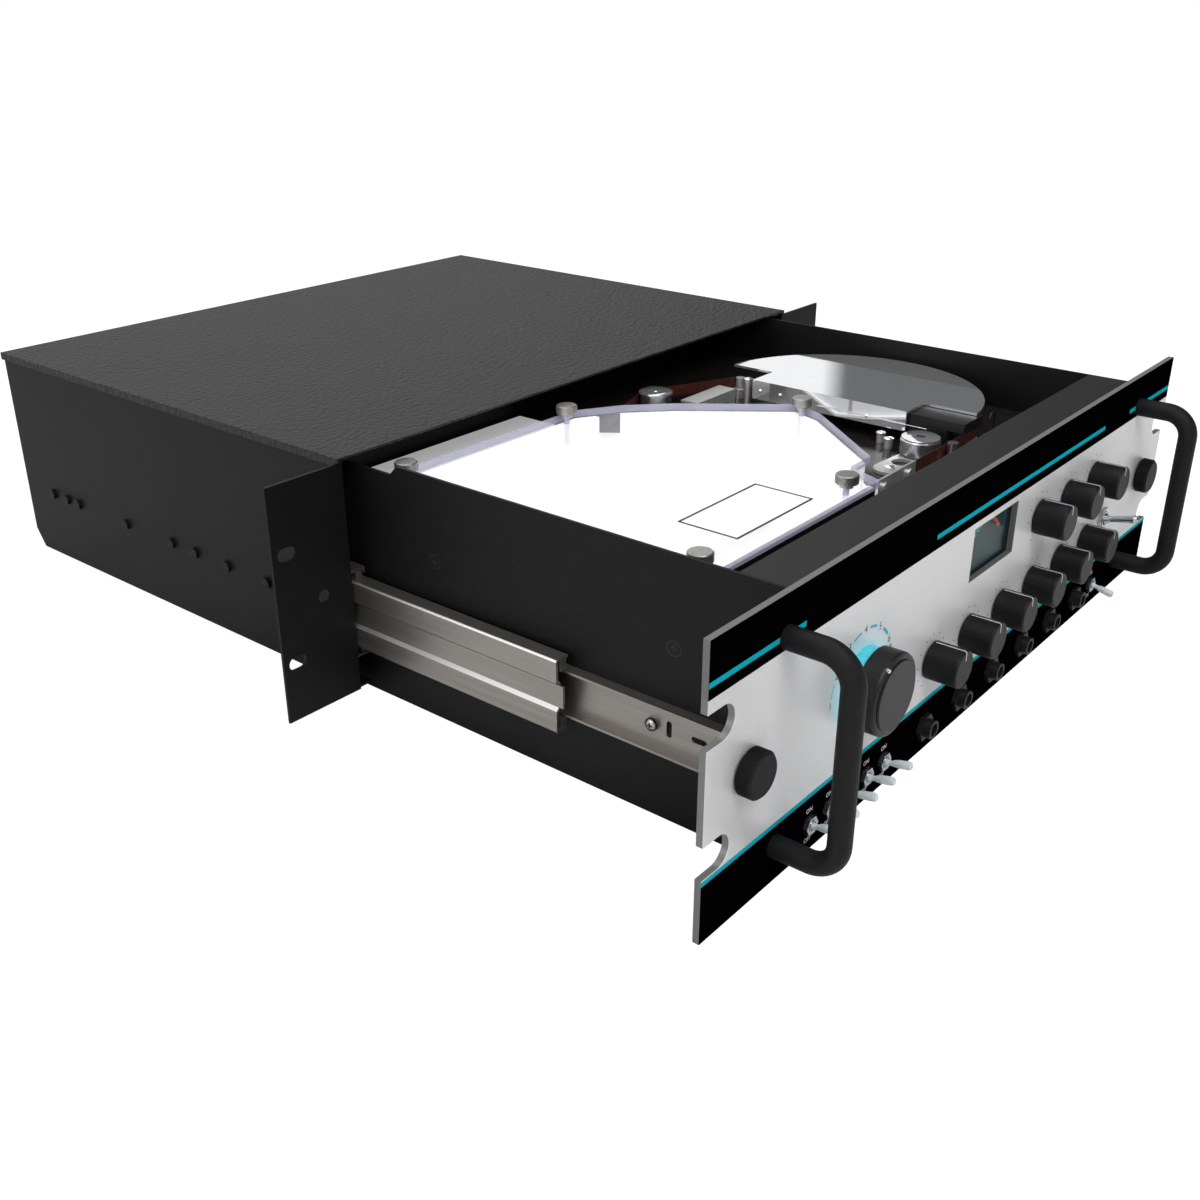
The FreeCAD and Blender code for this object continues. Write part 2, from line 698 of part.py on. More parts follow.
def inner_rail(name, side):
    web = drawer_half
    edge = web + rail_sheet
    end = web + inner_rail_flange
    inside = inner_half - rail_sheet
    points = [
        (web, -inner_half),
        (end, -inner_half),
        (end, -inside),
        (edge, -inside),
        (edge, inside),
        (end, inside),
        (end, inner_half),
        (web, inner_half),
    ]
    outline = [(side * across, slide_mid + rise) for across, rise in points]
    profile = plate(name + "_profile", "XZ_Plane", outline, slide_length - seat_gap, True)
    move(profile, (0, behind(seat_gap), 0))
    slot_left = side * drawer_half - rail_sheet * 2
    slot_run = 4 * rail_sheet
    upright_front = behind(rail_screw_back - 10)
    long_front = behind(rail_screw_back - 27)
    slots = [
        box(
            name + "_upright_slot",
            (slot_left, upright_front, slide_mid - slot_half_length + slot_end_radius),
            (slot_run, 2 * slot_end_radius, 2 * (slot_half_length - slot_end_radius)),
        ),
        box(
            name + "_long_slot",
            (slot_left, long_front, slide_mid - slot_end_radius),
            (slot_run, 2 * (slot_half_length - slot_end_radius), 2 * slot_end_radius),
        ),
    ]
    for word, sign in (("low", -1), ("high", 1)):
        rise = slide_mid + sign * (slot_half_length - slot_end_radius)
        place = (slot_left, upright_front + slot_end_radius, rise)
        slots.append(rod(f"{name}_upright_{word}", place, slot_end_radius, slot_run, "X"))
    for word, reach in (("front", 0), ("back", 2 * (slot_half_length - slot_end_radius))):
        place = (slot_left, long_front + reach, slide_mid)
        slots.append(rod(f"{name}_long_{word}", place, slot_end_radius, slot_run, "X"))
    return cut(name, profile, slots)


inner_rails = [inner_rail("inner_rail_a", -1), inner_rail("inner_rail_b", 1)]
node(group("inner_rail_group", inner_rails), "inner_rails")

# Drawer tray: one folded sheet, floor and two side walls
low_top = drawer_top - wall_step
wall_outline = [
    (0, -drawer_drop),
    (drawer_depth, -drawer_drop),
    (drawer_depth, low_top),
    (wall_step_from + wall_step_run, low_top),
    (wall_step_from, drawer_top),
    (0, drawer_top),
]
left_wall = plate("tray_left", "YZ_Plane", wall_outline, drawer_sheet)
move(left_wall, (-drawer_half, panel_back, 0))
plain_outline = rectangle(0, -drawer_drop, drawer_depth, drawer_top)
right_wall = plate("tray_right", "YZ_Plane", plain_outline, drawer_sheet)
move(right_wall, (wall_inner, panel_back, 0))
tray_floor = box(
    "tray_floor",
    (-drawer_half, panel_back, -drawer_drop),
    (2 * drawer_half, drawer_depth, drawer_sheet),
)
tray_blank = join("tray_blank", [left_wall, right_wall, tray_floor])
side_screw_spots = [
    (side, depth)
    for side in (-1, 1)
    for depth in (side_screw_front, side_screw_rear)
]
side_screw_sinks = []
for count, (side, depth) in enumerate(side_screw_spots):
    start = wall_inner if side > 0 else -drawer_half
    side_screw_sinks.append(
        rod(f"side_sink_{count}", (start, behind(depth), side_screw_rise), side_screw_radius, drawer_sheet, "X")
    )
node(cut("tray_cut", tray_blank, side_screw_sinks), "drawer_tray")

# Drawer rear panel with the mains inlet opening
rear_top = -drawer_drop + rear_wall_height
inlet_middle = -drawer_drop + rear_socket_rise
inlet_across = 120
inlet_window = rectangle(
    inlet_across - inlet_width / 2,
    inlet_middle - inlet_height / 2,
    inlet_across + inlet_width / 2,
    inlet_middle + inlet_height / 2,
)
rear_socket_places = (-140, -112, -84, -56, -28)
rear_plate = plate(
    "drawer_rear_plate",
    "XZ_Plane",
    rectangle(-wall_inner, floor_top, wall_inner, rear_top),
    drawer_sheet,
    False,
    [((place, inlet_middle), jack_bush) for place in rear_socket_places],
    [inlet_window],
)
move(rear_plate, (0, behind(drawer_depth), 0))
node(rear_plate, "drawer_rear_panel")

# Ledge: the folded strip between the drawer walls behind the panel
ledge_top = box(
    "ledge_top",
    (-wall_inner, panel_back, drawer_top - drawer_sheet),
    (2 * wall_inner, ledge_depth, drawer_sheet),
)
ledge_turn = box(
    "ledge_turn",
    (-wall_inner, behind(ledge_depth) - drawer_sheet, drawer_top - ledge_drop),
    (2 * wall_inner, drawer_sheet, ledge_drop),
)
node(join("ledge_parts", [ledge_top, ledge_turn]), "top_ledge")

# Front panel with its notches, window and bores
knob_places = [(column, -knob_low) for column in range(6)]
knob_places += [(column, knob_high) for column in range(3, 6)]
knob_spots = [(column * knob_pitch - knob_first, rise) for column, rise in knob_places]
jack_spots = [(column * knob_pitch - knob_first, -jack_drop) for column in range(6)]
toggle_spots = [(column * toggle_pitch - toggle_first, -jack_drop) for column in range(5)]
toggle_spots.append((toggle_right, -jack_drop))
power_spot = (power_across, -power_drop)
mode_spot = (-mode_across, 0)
panel_half_height = panel_height / 2
foot_bore = 2.0
panel_circles = [(spot, jack_bush) for spot in knob_spots + jack_spots + [mode_spot]]
panel_circles += [(spot, toggle_bush) for spot in toggle_spots]
panel_circles.append((power_spot, power_bush))
panel_circles += [((side * thumb_spread / 2, 0), thumb_shank + bore_clearance) for side in (-1, 1)]
panel_circles += [
    ((side * handle_spread / 2, rise * handle_span / 2), foot_bore)
    for side in (-1, 1)
    for rise in (-1, 1)
]
meter_window = rectangle(
    meter_across - meter_width / 2,
    meter_rise - meter_height / 2,
    meter_across + meter_width / 2,
    meter_rise + meter_height / 2,
)
panel_blank = plate(
    "panel_blank",
    "XZ_Plane",
    rectangle(-panel_half, -panel_half_height, panel_half, panel_half_height),
    panel_thick,
    False,
    panel_circles,
    [meter_window],
)
move(panel_blank, (0, panel_back, 0))
notches = []
for side in (-1, 1):
    for sign in (-1, 1):
        name = f"notch_{side + 1}_{sign + 1}"
        round_end = panel_half - notch_depth + notch_radius
        notches.append(
            rod(
                name + "_round",
                (side * round_end, panel_front - panel_thick, sign * slot_rise / 2),
                notch_radius,
                3 * panel_thick,
                "Y",
            )
        )
        open_left = round_end if side > 0 else -panel_half - notch_depth
        notches.append(
            box(
                name + "_open",
                (open_left, panel_front - panel_thick, sign * slot_rise / 2 - notch_radius),
                (2 * notch_depth - notch_radius, 3 * panel_thick, 2 * notch_radius),
            )
        )
node(cut("panel_cut", panel_blank, notches), "front_panel")


# Bent round handles, each with its two foot screws
def elbow(name, centre, sign):
    bend = doc.addObject("Part::Torus", name)
    bind(bend, "Radius1", handle_bend)
    bind(bend, "Radius2", handle_radius)
    bend.Angle3 = 90
    turn = FreeCAD.Rotation(
        FreeCAD.Vector(0, 0, sign),
        FreeCAD.Vector(0, -1, 0),
        FreeCAD.Vector(sign, 0, 0),
        "XYZ",
    )
    return move(bend, centre, turn)


foot_head_radius = 4.0
foot_head_height = 2.2


def handle(name, across):
    bend_front = panel_front - handle_reach + handle_bend
    half = handle_span / 2
    parts = [
        rod(
            name + "_grip",
            (across, panel_front - handle_reach, handle_bend - half),
            handle_radius,
            handle_span - 2 * handle_bend,
        )
    ]
    for word, sign in (("low", -1), ("high", 1)):
        rise = sign * half
        parts.append(
            rod(f"{name}_{word}_leg", (across, bend_front, rise), handle_radius, handle_reach - handle_bend, "Y")
        )
        parts.append(
            elbow(f"{name}_{word}_elbow", (across, bend_front, rise - sign * handle_bend), sign)
        )
        parts.append(
            rod(f"{name}_{word}_stud", (across, panel_front, rise), foot_bore, panel_thick, "Y")
        )
        parts.append(
            rod(f"{name}_{word}_screw", (across, panel_back, rise), foot_head_radius, foot_head_height, "Y")
        )
    return join(name, parts)


handles = [handle("handle_a", -handle_spread / 2), handle("handle_b", handle_spread / 2)]
node(group("handle_group", handles), "handles")

# Everything on the panel is turned about an axis that points out of it
outward = FreeCAD.Rotation(axis_x, 90)


# Captive screws that lock the closed drawer to the ears
def thumbscrew(label, side):
    head_start = thumb_gap
    head_end = thumb_gap + thumb_length
    shank_end = -panel_thick - thumb_shank_length
    profile = [
        (0, shank_end),
        (thumb_shank, shank_end),
        (thumb_shank, head_start),
        (thumb_radius - thumb_bevel, head_start),
        (thumb_radius, head_start + thumb_bevel),
        (thumb_radius, head_end - thumb_bevel),
        (thumb_radius - thumb_bevel, head_end),
        (0, head_end),
    ]
    piece = turned(
        label + "_turned", "XZ_Plane", profile, (side * thumb_spread / 2, panel_front, 0), outward
    )
    node(piece, label)


thumbscrew("thumbscrew_left", -1)
thumbscrew("thumbscrew_right", 1)


# Knobs: a bevelled barrel with a blind bore that turns on the control shaft
def knob(label, spot, radius, start, length, bevel):
    end = start + length
    bore = knob_shaft + bore_clearance
    bore_end = start + shaft_reach - knob_gap
    profile = [
        (bore, start),
        (radius, start),
        (radius, end - bevel),
        (radius - bevel * 0.3, end - bevel * 0.3),
        (radius - bevel, end),
        (0, end),
        (0, bore_end + seat_gap),
        (bore, bore_end + seat_gap),
    ]
    across, rise = spot
    piece = turned(label + "_turned", "XZ_Plane", profile, (across, panel_front, rise), outward)
    node(piece, label)


knob_bevel = 1.0
mode_bevel = 1.6
knob_words = ("one", "two", "three", "four", "five", "six", "seven", "eight", "nine")
for word, spot in zip(knob_words, knob_spots):
    knob("knob_" + word, spot, knob_radius, knob_gap, knob_length, knob_bevel)
mode_start = collar_length + mode_gap
knob("mode_knob", mode_spot, mode_radius, mode_start, mode_length, mode_bevel)

# Lit collar under the mode knob, open at its middle for the shaft nut
collar_inner = 9.0
collar_profile = [
    (collar_inner, 0),
    (collar_radius, 0),
    (collar_radius, collar_length),
    (collar_inner, collar_length),
]
collar = turned(
    "collar_turned", "XZ_Plane", collar_profile, (-mode_across, panel_front, 0), outward
)
node(collar, "lit_collar")


# Rotary controls behind the panel, one shaft each
def control(name, spot, radius, length, reach):
    back = -panel_thick - length
    bush_radius = jack_bush - seat_gap / 3
    profile = [
        (0, back),
        (radius, back),
        (radius, -panel_thick),
        (bush_radius, -panel_thick),
        (bush_radius, 0),
        (knob_shaft, 0),
        (knob_shaft, reach),
        (0, reach),
    ]
    across, rise = spot
    return turned(name, "XZ_Plane", profile, (across, panel_front, rise), outward)


controls = [
    control("control_" + word, spot, pot_radius, pot_length, shaft_reach)
    for word, spot in zip(knob_words, knob_spots)
]
switch_radius = 14.0
switch_length = 18.0
mode_shaft_reach = mode_start + shaft_reach - knob_gap
controls.append(control("mode_switch", mode_spot, switch_radius, switch_length, mode_shaft_reach))
node(group("control_group", controls), "rotary_controls")


# Toggle switches: body behind the panel, nut and open bush ahead of it
def toggle_base(name, spot, nut_radius_here, bush, body_half, body_depth):
    across, rise = spot
    mouth = nut_thick + seat_gap
    body = box(
        name + "_case",
        (across - body_half, panel_back, rise - body_half),
        (2 * body_half, body_depth, 2 * body_half),
    )
    stem = rod(
        name + "_bush",
        (across, panel_front - mouth, rise),
        bush - seat_gap / 3,
        mouth + panel_thick,
        "Y",
    )
    nut = doc.addObject("Part::Prism", name + "_nut")
    nut.Polygon = 6
    bind(nut, "Circumradius", nut_radius_here)
    bind(nut, "Height", nut_thick)
    move(nut, (across, panel_front, rise), outward)
    hollow = rod(
        name + "_hollow",
        (across, panel_front - 2 * mouth, rise),
        bush * 0.74,
        2 * mouth + panel_thick,
        "Y",
    )
    return cut(name, join(name + "_solid", [body, stem, nut]), [hollow])


def lever(label, spot, length, tip, root, ball, tilt):
    across, rise = spot
    pivot = nut_thick + seat_gap
    profile = [
        (0, -ball),
        (ball * 0.7, -ball * 0.7),
        (ball, 0),
        (root, ball),
        (tip * 0.86, length - 2 * tip),
        (tip, length - tip),
        (tip * 0.72, length - tip * 0.28),
        (0, length),
    ]
    piece = turned(
        label + "_turned",
        "XZ_Plane",
        profile,
        (across, panel_front - pivot, rise),
        FreeCAD.Rotation(axis_x, 90 - tilt.number),
    )
    node(piece, label)


toggle_case_half = 4.6
toggle_case_depth = 11.0
power_case_half = 8.0
power_case_depth = 20.0
toggle_words = ("one", "two", "three", "four", "five", "six")
toggle_bases = []
for word, spot in zip(toggle_words, toggle_spots):
    toggle_bases.append(
        toggle_base("toggle_" + word + "_base", spot, toggle_nut, toggle_bush, toggle_case_half, toggle_case_depth)
    )
    tilt = toggle_tilt if word != "six" else -toggle_tilt
    lever("toggle_" + word, spot, toggle_lever, toggle_tip, toggle_root, toggle_bush * 0.6, tilt)
toggle_bases.append(
    toggle_base("power_base", power_spot, power_nut, power_bush, power_case_half, power_case_depth)
)
lever("power_toggle", power_spot, power_lever, power_tip, toggle_root * 1.4, power_bush * 0.6, toggle_tilt)
node(group("toggle_base_group", toggle_bases), "toggle_bases")


# Jacks: nut and bush ahead of the panel, square case behind it
def jack(name, spot):
    across, rise = spot
    case_half = jack_radius
    case = box(
        name + "_case",
        (across - case_half, panel_back, rise - case_half),
        (2 * case_half, jack_body, 2 * case_half),
    )
    bush = rod(
        name + "_bush",
        (across, panel_front - jack_length, rise),
        jack_bush - seat_gap / 3,
        jack_length + panel_thick,
        "Y",
    )
    nut = doc.addObject("Part::Prism", name + "_nut")
    nut.Polygon = 6
    bind(nut, "Circumradius", jack_radius)
    bind(nut, "Height", nut_thick)
    move(nut, (across, panel_front, rise), outward)
    bore = rod(
        name + "_bore",
        (across, panel_front - 2 * jack_length, rise),
        jack_bore,
        2 * jack_length + panel_thick + jack_body - drawer_sheet,
        "Y",
    )
    return cut(name, join(name + "_solid", [case, bush, nut]), [bore])


jacks = [jack("jack_" + word, spot) for word, spot in zip(knob_words, jack_spots)]
node(group("jack_group", jacks), "jacks")

# Meter: glass against the panel back, held by its case
glass_half_width = meter_width / 2 + meter_wall
glass_half_height = meter_height / 2 + meter_wall
case_half_width = meter_width / 2 + meter_rim
case_half_height = meter_height / 2 + meter_rim
meter_case = box(
    "meter_block",
    (meter_across - case_half_width, panel_back, meter_rise - case_half_height),
    (2 * case_half_width, meter_depth, 2 * case_half_height),
)
glass_seat = box(
    "glass_seat",
    (
        meter_across - glass_half_width - seat_gap / 3,
        panel_back - glass_thick,
        meter_rise - glass_half_height - seat_gap / 3,
    ),
    (2 * glass_half_width + seat_gap / 1.5, 2 * glass_thick, 2 * glass_half_height + seat_gap / 1.5),
)
meter_hollow = box(
    "meter_hollow",
    (meter_across - meter_width / 2, panel_back, meter_rise - meter_height / 2),
    (meter_width, meter_depth - meter_wall, meter_height),
)
node(cut("meter_case_cut", meter_case, [glass_seat, meter_hollow]), "meter_case")
meter_glass = box(
    "meter_glass_plate",
    (meter_across - glass_half_width, panel_back, meter_rise - glass_half_height),
    (2 * glass_half_width, glass_thick, 2 * glass_half_height),
)
node(meter_glass, "meter_glass")


# Tape deck plate hung between the drawer walls
def deck_point(across, depth):
    """An outline point on the deck, from its place behind the panel."""
    return (across, behind(depth))


deck_circles = [
    (deck_point(capstan_across, capstan_back), capstan_radius + bore_clearance),
]
deck_blank = plate(
    "deck_sheet_plate",
    "XY_Plane",
    [
        deck_point(-wall_inner, deck_front),
        deck_point(wall_inner, deck_front),
        deck_point(wall_inner, deck_rear),
        deck_point(-wall_inner, deck_rear),
    ],
    deck_sheet,
    False,
    deck_circles,
)
move(deck_blank, (0, 0, deck_under))
deck_edges = []
for word, left in (("left", -wall_inner), ("right", wall_inner - deck_sheet)):
    deck_edges.append(
        box(
            f"deck_edge_{word}",
            (left, behind(deck_front), deck_top - deck_flange),
            (deck_sheet, deck_rear - deck_front, deck_flange),
        )
    )
deck_slot_across = 68.0
deck_slot_back = 267.0
deck_slot = box(
    "deck_slot",
    (deck_slot_across, behind(deck_slot_back), deck_under - deck_sheet),
    (5, 18, 3 * deck_sheet),
)
deck_whole = join("deck_whole", [deck_blank] + deck_edges)
node(cut("deck_cut", deck_whole, [deck_slot]), "deck_plate")

# Countersunk and pan head screws in the drawer walls and inner rails
drawer_screws = []
for count, (side, depth) in enumerate(side_screw_spots):
    start = wall_inner if side > 0 else -drawer_half
    drawer_screws.append(
        rod(f"side_screw_{count}", (start, behind(depth), side_screw_rise), side_screw_radius, drawer_sheet, "X")
    )
for side in (-1, 1):
    web = drawer_half + rail_sheet
    start = web if side > 0 else -web - sleeve_screw_head
    drawer_screws.append(
        rod(
            f"rail_screw_{side + 1}",
            (start, behind(rail_screw_back), slide_mid),
            sleeve_screw_radius,
            sleeve_screw_head,
            "X",
        )
    )
node(group("drawer_screw_group", drawer_screws), "drawer_screws")

# Tape bin: white floor, black wall, clear cover
bin_corners = [
    (-bin_left, bin_front),
    (-bin_slot, bin_front),
    (-bin_slot + 8.8, bin_front + bin_slot_depth),
    (-bin_slot + 28.7, bin_front + bin_slot_depth),
    (bin_point - 7.2, bin_point_back - 19.4),
    (bin_point, bin_point_back),
    (bin_point - 43.2, bin_back - 38),
    (bin_point - 64.8, bin_back - 17.2),
    (bin_point - 90.5, bin_back - 2),
    (-bin_left, bin_back),
]


def inset_outline(corners, distance):
    """The outline moved inward by a distance, corners kept sharp."""
    points = [(as_size(a).number, as_size(b).number) for a, b in corners]
    amount = as_size(distance).number
    count = len(points)
    moved = []
    for index in range(count):
        before = points[index - 1]
        here = points[index]
        after = points[(index + 1) % count]
        lines = []
        for start, end in ((before, here), (here, after)):
            run = (end[0] - start[0], end[1] - start[1])
            reach = math.hypot(*run)
            normal = (-run[1] / reach, run[0] / reach)
            lines.append((normal, normal[0] * start[0] + normal[1] * start[1] + amount))
        (first, first_offset), (second, second_offset) = lines
        turn = first[0] * second[1] - first[1] * second[0]
        moved.append(
            (
                (first_offset * second[1] - second_offset * first[1]) / turn,
                (first[0] * second_offset - second[0] * first_offset) / turn,
            )
        )
    return moved


def deck_outline(corners):
    return [deck_point(across, depth) for across, depth in corners]


floor_edge = 20.0
floor_back = deck_rear - 2
floor_corners = bin_corners[:8] + [
    (-floor_edge, bin_back),
    (-floor_edge, floor_back),
    (-bin_left, floor_back),
]
bin_floor_plate = plate("bin_floor_plate", "XY_Plane", deck_outline(floor_corners), bin_floor)
move(bin_floor_plate, (0, 0, deck_top))
node(bin_floor_plate, "tape_bin_floor")

wall_outside = inset_outline(bin_corners, cover_over)
wall_inside = inset_outline(bin_corners, cover_over + bin_wall_thick)
bin_wall_solid = plate(
    "bin_wall_plate",
    "XY_Plane",
    deck_outline(wall_outside),
    bin_wall_height,
    False,
    (),
    [deck_outline(wall_inside)],
)
move(bin_wall_solid, (0, 0, bin_floor_top))
tape_slot_half = 2.0
front_slot = box(
    "front_slot",
    (-bin_slot - bin_wall_thick, behind(tape_front - tape_slot_half), bin_floor_top),
    (4 * bin_wall_thick + cover_over, 2 * tape_slot_half + tape_thick, bin_wall_height),
)
back_slot = box(
    "back_slot",
    (bin_point - 90.5 + 10, behind(bin_back - 24), bin_floor_top),
    (13, 24, bin_wall_height),
)

stud_spots = [
    (-stud_left, stud_front),
    (-stud_middle, stud_front),
    (stud_right, stud_point),
    (-stud_middle, stud_back),
    (-stud_left, stud_back),
]
stud_hole = stud_radius + seat_gap
stud_ways = [
    rod(f"stud_way_{count}", (across, behind(depth), deck_top), stud_hole, bin_wall_height * 2)
    for count, (across, depth) in enumerate(stud_spots)
]
wall_cuts = [front_slot, back_slot] + stud_ways
node(cut("bin_wall_cut", bin_wall_solid, wall_cuts), "tape_bin_wall")
cover_circles = [
    (deck_point(across, depth), stud_radius + seat_gap / 3) for across, depth in stud_spots
]
bin_cover_plate = plate(
    "bin_cover_plate",
    "XY_Plane",
    deck_outline(bin_corners),
    cover_plate,
    False,
    cover_circles,
)
move(bin_cover_plate, (0, 0, cover_under))
node(bin_cover_plate, "bin_cover")

# Knurled nuts on their studs
cap_start = bin_cover_top + nut_neck
cap_end = cap_start + nut_height
cap_bevel = 0.4
bin_nuts = []
for count, (across, depth) in enumerate(stud_spots):
    profile = [
        (0, bin_floor_top),
        (stud_radius, bin_floor_top),
        (stud_radius, bin_cover_top),
        (nut_neck_radius, bin_cover_top),
        (nut_neck_radius, cap_start),
        (nut_radius, cap_start + cap_bevel),
        (nut_radius, cap_end - cap_bevel),
        (nut_radius - cap_bevel, cap_end),
        (0, cap_end),
    ]
    bin_nuts.append(
        turned(f"bin_nut_{count}", "XZ_Plane", profile, (across, behind(depth), 0))
    )
node(group("bin_nut_group", bin_nuts), "bin_nuts")

# Round head shield with its straight edge folded down
shield_under = shield_rise - shield_sheet
shield_disc = rod(
    "shield_disc",
    (shield_across, behind(shield_back), shield_under),
    shield_radius,
    shield_sheet,
)
shield_left = shield_across - shield_radius
shield_trim = box(
    "shield_trim",
    (shield_left - shield_sheet, behind(shield_back - 2 * shield_radius), shield_under - shield_sheet),
    (shield_edge - shield_left + shield_sheet, 4 * shield_radius, 3 * shield_sheet),
)
shield_corners = []
for word, start in (("front", shield_back - 2 * shield_radius), ("back", shield_fold_back)):
    length = shield_fold_front - start if word == "front" else 2 * shield_radius
    shield_corners.append(
        box(
            f"shield_{word}_corner",
            (shield_left - shield_sheet, behind(start), shield_under - shield_sheet),
            (shield_notch - shield_left + shield_sheet, length, 3 * shield_sheet),
        )
    )
shield_fold_wall = box(
    "shield_fold_wall",
    (shield_edge, behind(shield_fold_front), shield_under - shield_fold),
    (shield_sheet, shield_fold_back - shield_fold_front, shield_fold),
)
shield_top = cut("shield_top", shield_disc, [shield_trim] + shield_corners)
shield_post_radius = 3.0
shield_posts = [
    rod(
        f"shield_post_{word}",
        (shield_across + shift, behind(shield_back + run), deck_top),
        shield_post_radius,
        shield_under - deck_top,
    )
    for word, shift, run in (("front", 50, -45), ("back", 50, 45), ("middle", 66, 0))
]
node(join("shield_parts", [shield_top, shield_fold_wall] + shield_posts), "head_shield")

# Tape heads on their carrier and the block over the front corner
head_left = tape_line + seat_gap
heads = [
    box(
        "head_carrier",
        (head_left, behind(head_first - 6), deck_top),
        (head_width + 6, 3 * head_pitch + head_depth + 12, tape_rise / 2),
    )
]
for count in range(4):
    heads.append(
        box(
            f"head_{count}",
            (head_left, behind(head_first + count * head_pitch), deck_top + tape_rise / 2),
            (head_width, head_depth, head_height),
        )
    )
head_stack = join("head_stack", heads)
block_left = 84.0
block_width = 22.0
block_back = 89.0
block_leg = 9.0
block_top = shield_under - seat_gap
block_low = tape_high + seat_gap
block_cap = box(
    "block_cap",
    (block_left, behind(post_front - 4), block_low),
    (block_width, block_back - post_front + 4, block_top - block_low),
)
block_leg_box = box(
    "block_leg",
    (block_left, behind(post_front + 6), deck_top),
    (block_leg, block_back - post_front - 6, block_low - deck_top),
)
head_block = join("head_block", [block_cap, block_leg_box])
node(group("head_group", [head_stack, head_block]), "tape_heads")

# Fixed posts, guide plate and brackets along the tape
post_foot = tape_rise - seat_gap
guides = []
for word, depth in (("front", post_front), ("back", post_back)):
    profile = [
        (0, deck_top),
        (post_cap, deck_top),
        (post_cap, deck_top + post_foot),
        (post_radius, deck_top + post_foot),
        (post_radius, tape_high + seat_gap / 2),
        (0, tape_high + seat_gap / 2),
    ]
    guides.append(turned(f"post_{word}", "XZ_Plane", profile, (post_across, behind(depth), 0)))
guide_left = -18.2
guide_length = 39.5
guide_thick = 1.4
guide_front = 51.6
guide_over = 3.0
guides.append(
    box(
        "guide_plate",
        (guide_left, behind(guide_front), deck_top),
        (guide_length, guide_thick, tape_high + guide_over - deck_top),
    )
)
guide_stud_radius = 2.6
for count, across in enumerate((-12, 14)):
    guides.append(
        rod(
            f"guide_stud_{count}",
            (across, behind(guide_front - guide_thick), tape_low + 4.5),
            guide_stud_radius,
            guide_thick,
            "Y",
        )
    )
pin_radius = 2.4
for count, (across, depth) in enumerate(((70, 92.5), (77, 101))):
    guides.append(rod(f"spring_pin_{count}", (across, behind(depth), deck_top), pin_radius, tape_rise))
bracket_front = 203.0
bracket_left = 41.0
bracket_length = 40.0
guides.append(
    box(
        "bracket_wall",
        (bracket_left, behind(bracket_front), deck_top),
        (bracket_length, guide_thick, tape_high - deck_top - 2),
    )
)
guides.append(
    box(
        "bracket_top",
        (bracket_left, behind(bracket_front), tape_high - 2),
        (bracket_length, 12, guide_thick),
    )
)
hook_across = 88.8
hook_back = 199.0
hook_radius = 2.4
guides.append(
    rod("hook_post", (hook_across, behind(hook_back), deck_top), hook_radius, shield_rise - deck_top - 3)
)
node(group("guide_group", guides), "tape_guides")


# Tape ribbon: a thin band set on edge along its path
def on_path(across, depth):
    return FreeCAD.Vector(as_size(across).number, behind(depth).number, as_size(tape_low).number)


post_turn = post_radius + tape_thick / 2 + seat_gap / 3
path_right = post_across + post_turn
path_front = post_front - post_turn
idler_turn = idler_radius + tape_thick / 2 + seat_gap
back_post = on_path(post_across, post_back)
idler_spot = on_path(idler_across, idler_back)
gap_run = idler_spot - back_post
heading = math.atan2(gap_run.y, -gap_run.x)
spread = math.asin((idler_turn - post_turn).number / math.hypot(gap_run.x, gap_run.y))
lean = FreeCAD.Vector(math.sin(heading + spread), math.cos(heading + spread), 0)
post_leave = back_post + lean * post_turn.number
idler_meet = idler_spot + lean * idler_turn.number
bin_meet = on_path(bin_point - 90.5 + 16, bin_back - 14)
exit_run = bin_meet - idler_spot
exit_length = math.hypot(exit_run.x, exit_run.y)
exit_heading = math.atan2(exit_run.y, exit_run.x)
exit_angle = exit_heading - math.acos(idler_turn.number / exit_length)
idler_leave = idler_spot + FreeCAD.Vector(
    math.cos(exit_angle) * idler_turn.number, math.sin(exit_angle) * idler_turn.number, 0
)
diagonal = math.sqrt(0.5)
front_post = on_path(post_across, post_front)
front_bend = front_post + FreeCAD.Vector(diagonal, -diagonal, 0) * post_turn.number
half_way = FreeCAD.Vector(1, 0, 0) + lean
half_way.normalize()
back_bend = back_post + half_way * post_turn.number
idler_half = (idler_meet - idler_spot) + (idler_leave - idler_spot)
idler_half.normalize()
idler_bend = idler_spot + idler_half * idler_turn.number
bin_start = on_path(-bin_slot + 4, path_front)
path_edges = [
    Part.LineSegment(bin_start, on_path(post_across, path_front)),
    Part.Arc(on_path(post_across, path_front), front_bend, on_path(path_right, post_front)),
    Part.LineSegment(on_path(path_right, post_front), on_path(path_right, post_back)),
    Part.Arc(on_path(path_right, post_back), back_bend, post_leave),
    Part.LineSegment(post_leave, idler_meet),
    Part.Arc(idler_meet, idler_bend, idler_leave),
    Part.LineSegment(idler_leave, bin_meet),
]
path = Part.Wire([edge.toShape() for edge in path_edges])
ribbon_start = FreeCAD.Vector(bin_start.x, bin_start.y - tape_thick.number / 2, bin_start.z)
section = Part.makePolygon(
    [
        ribbon_start,
        ribbon_start + FreeCAD.Vector(0, tape_thick.number, 0),
        ribbon_start + FreeCAD.Vector(0, tape_thick.number, tape_width.number),
        ribbon_start + FreeCAD.Vector(0, 0, tape_width.number),
        ribbon_start,
    ]
)
ribbon = path.makePipeShell([section], True, True)
print("tape volume over section times length", ribbon.Volume / (path.Length * tape_thick.number * tape_width.number))
tape = doc.addObject("Part::Feature", "tape_ribbon")
tape.Shape = ribbon
node(tape, "tape_loop")

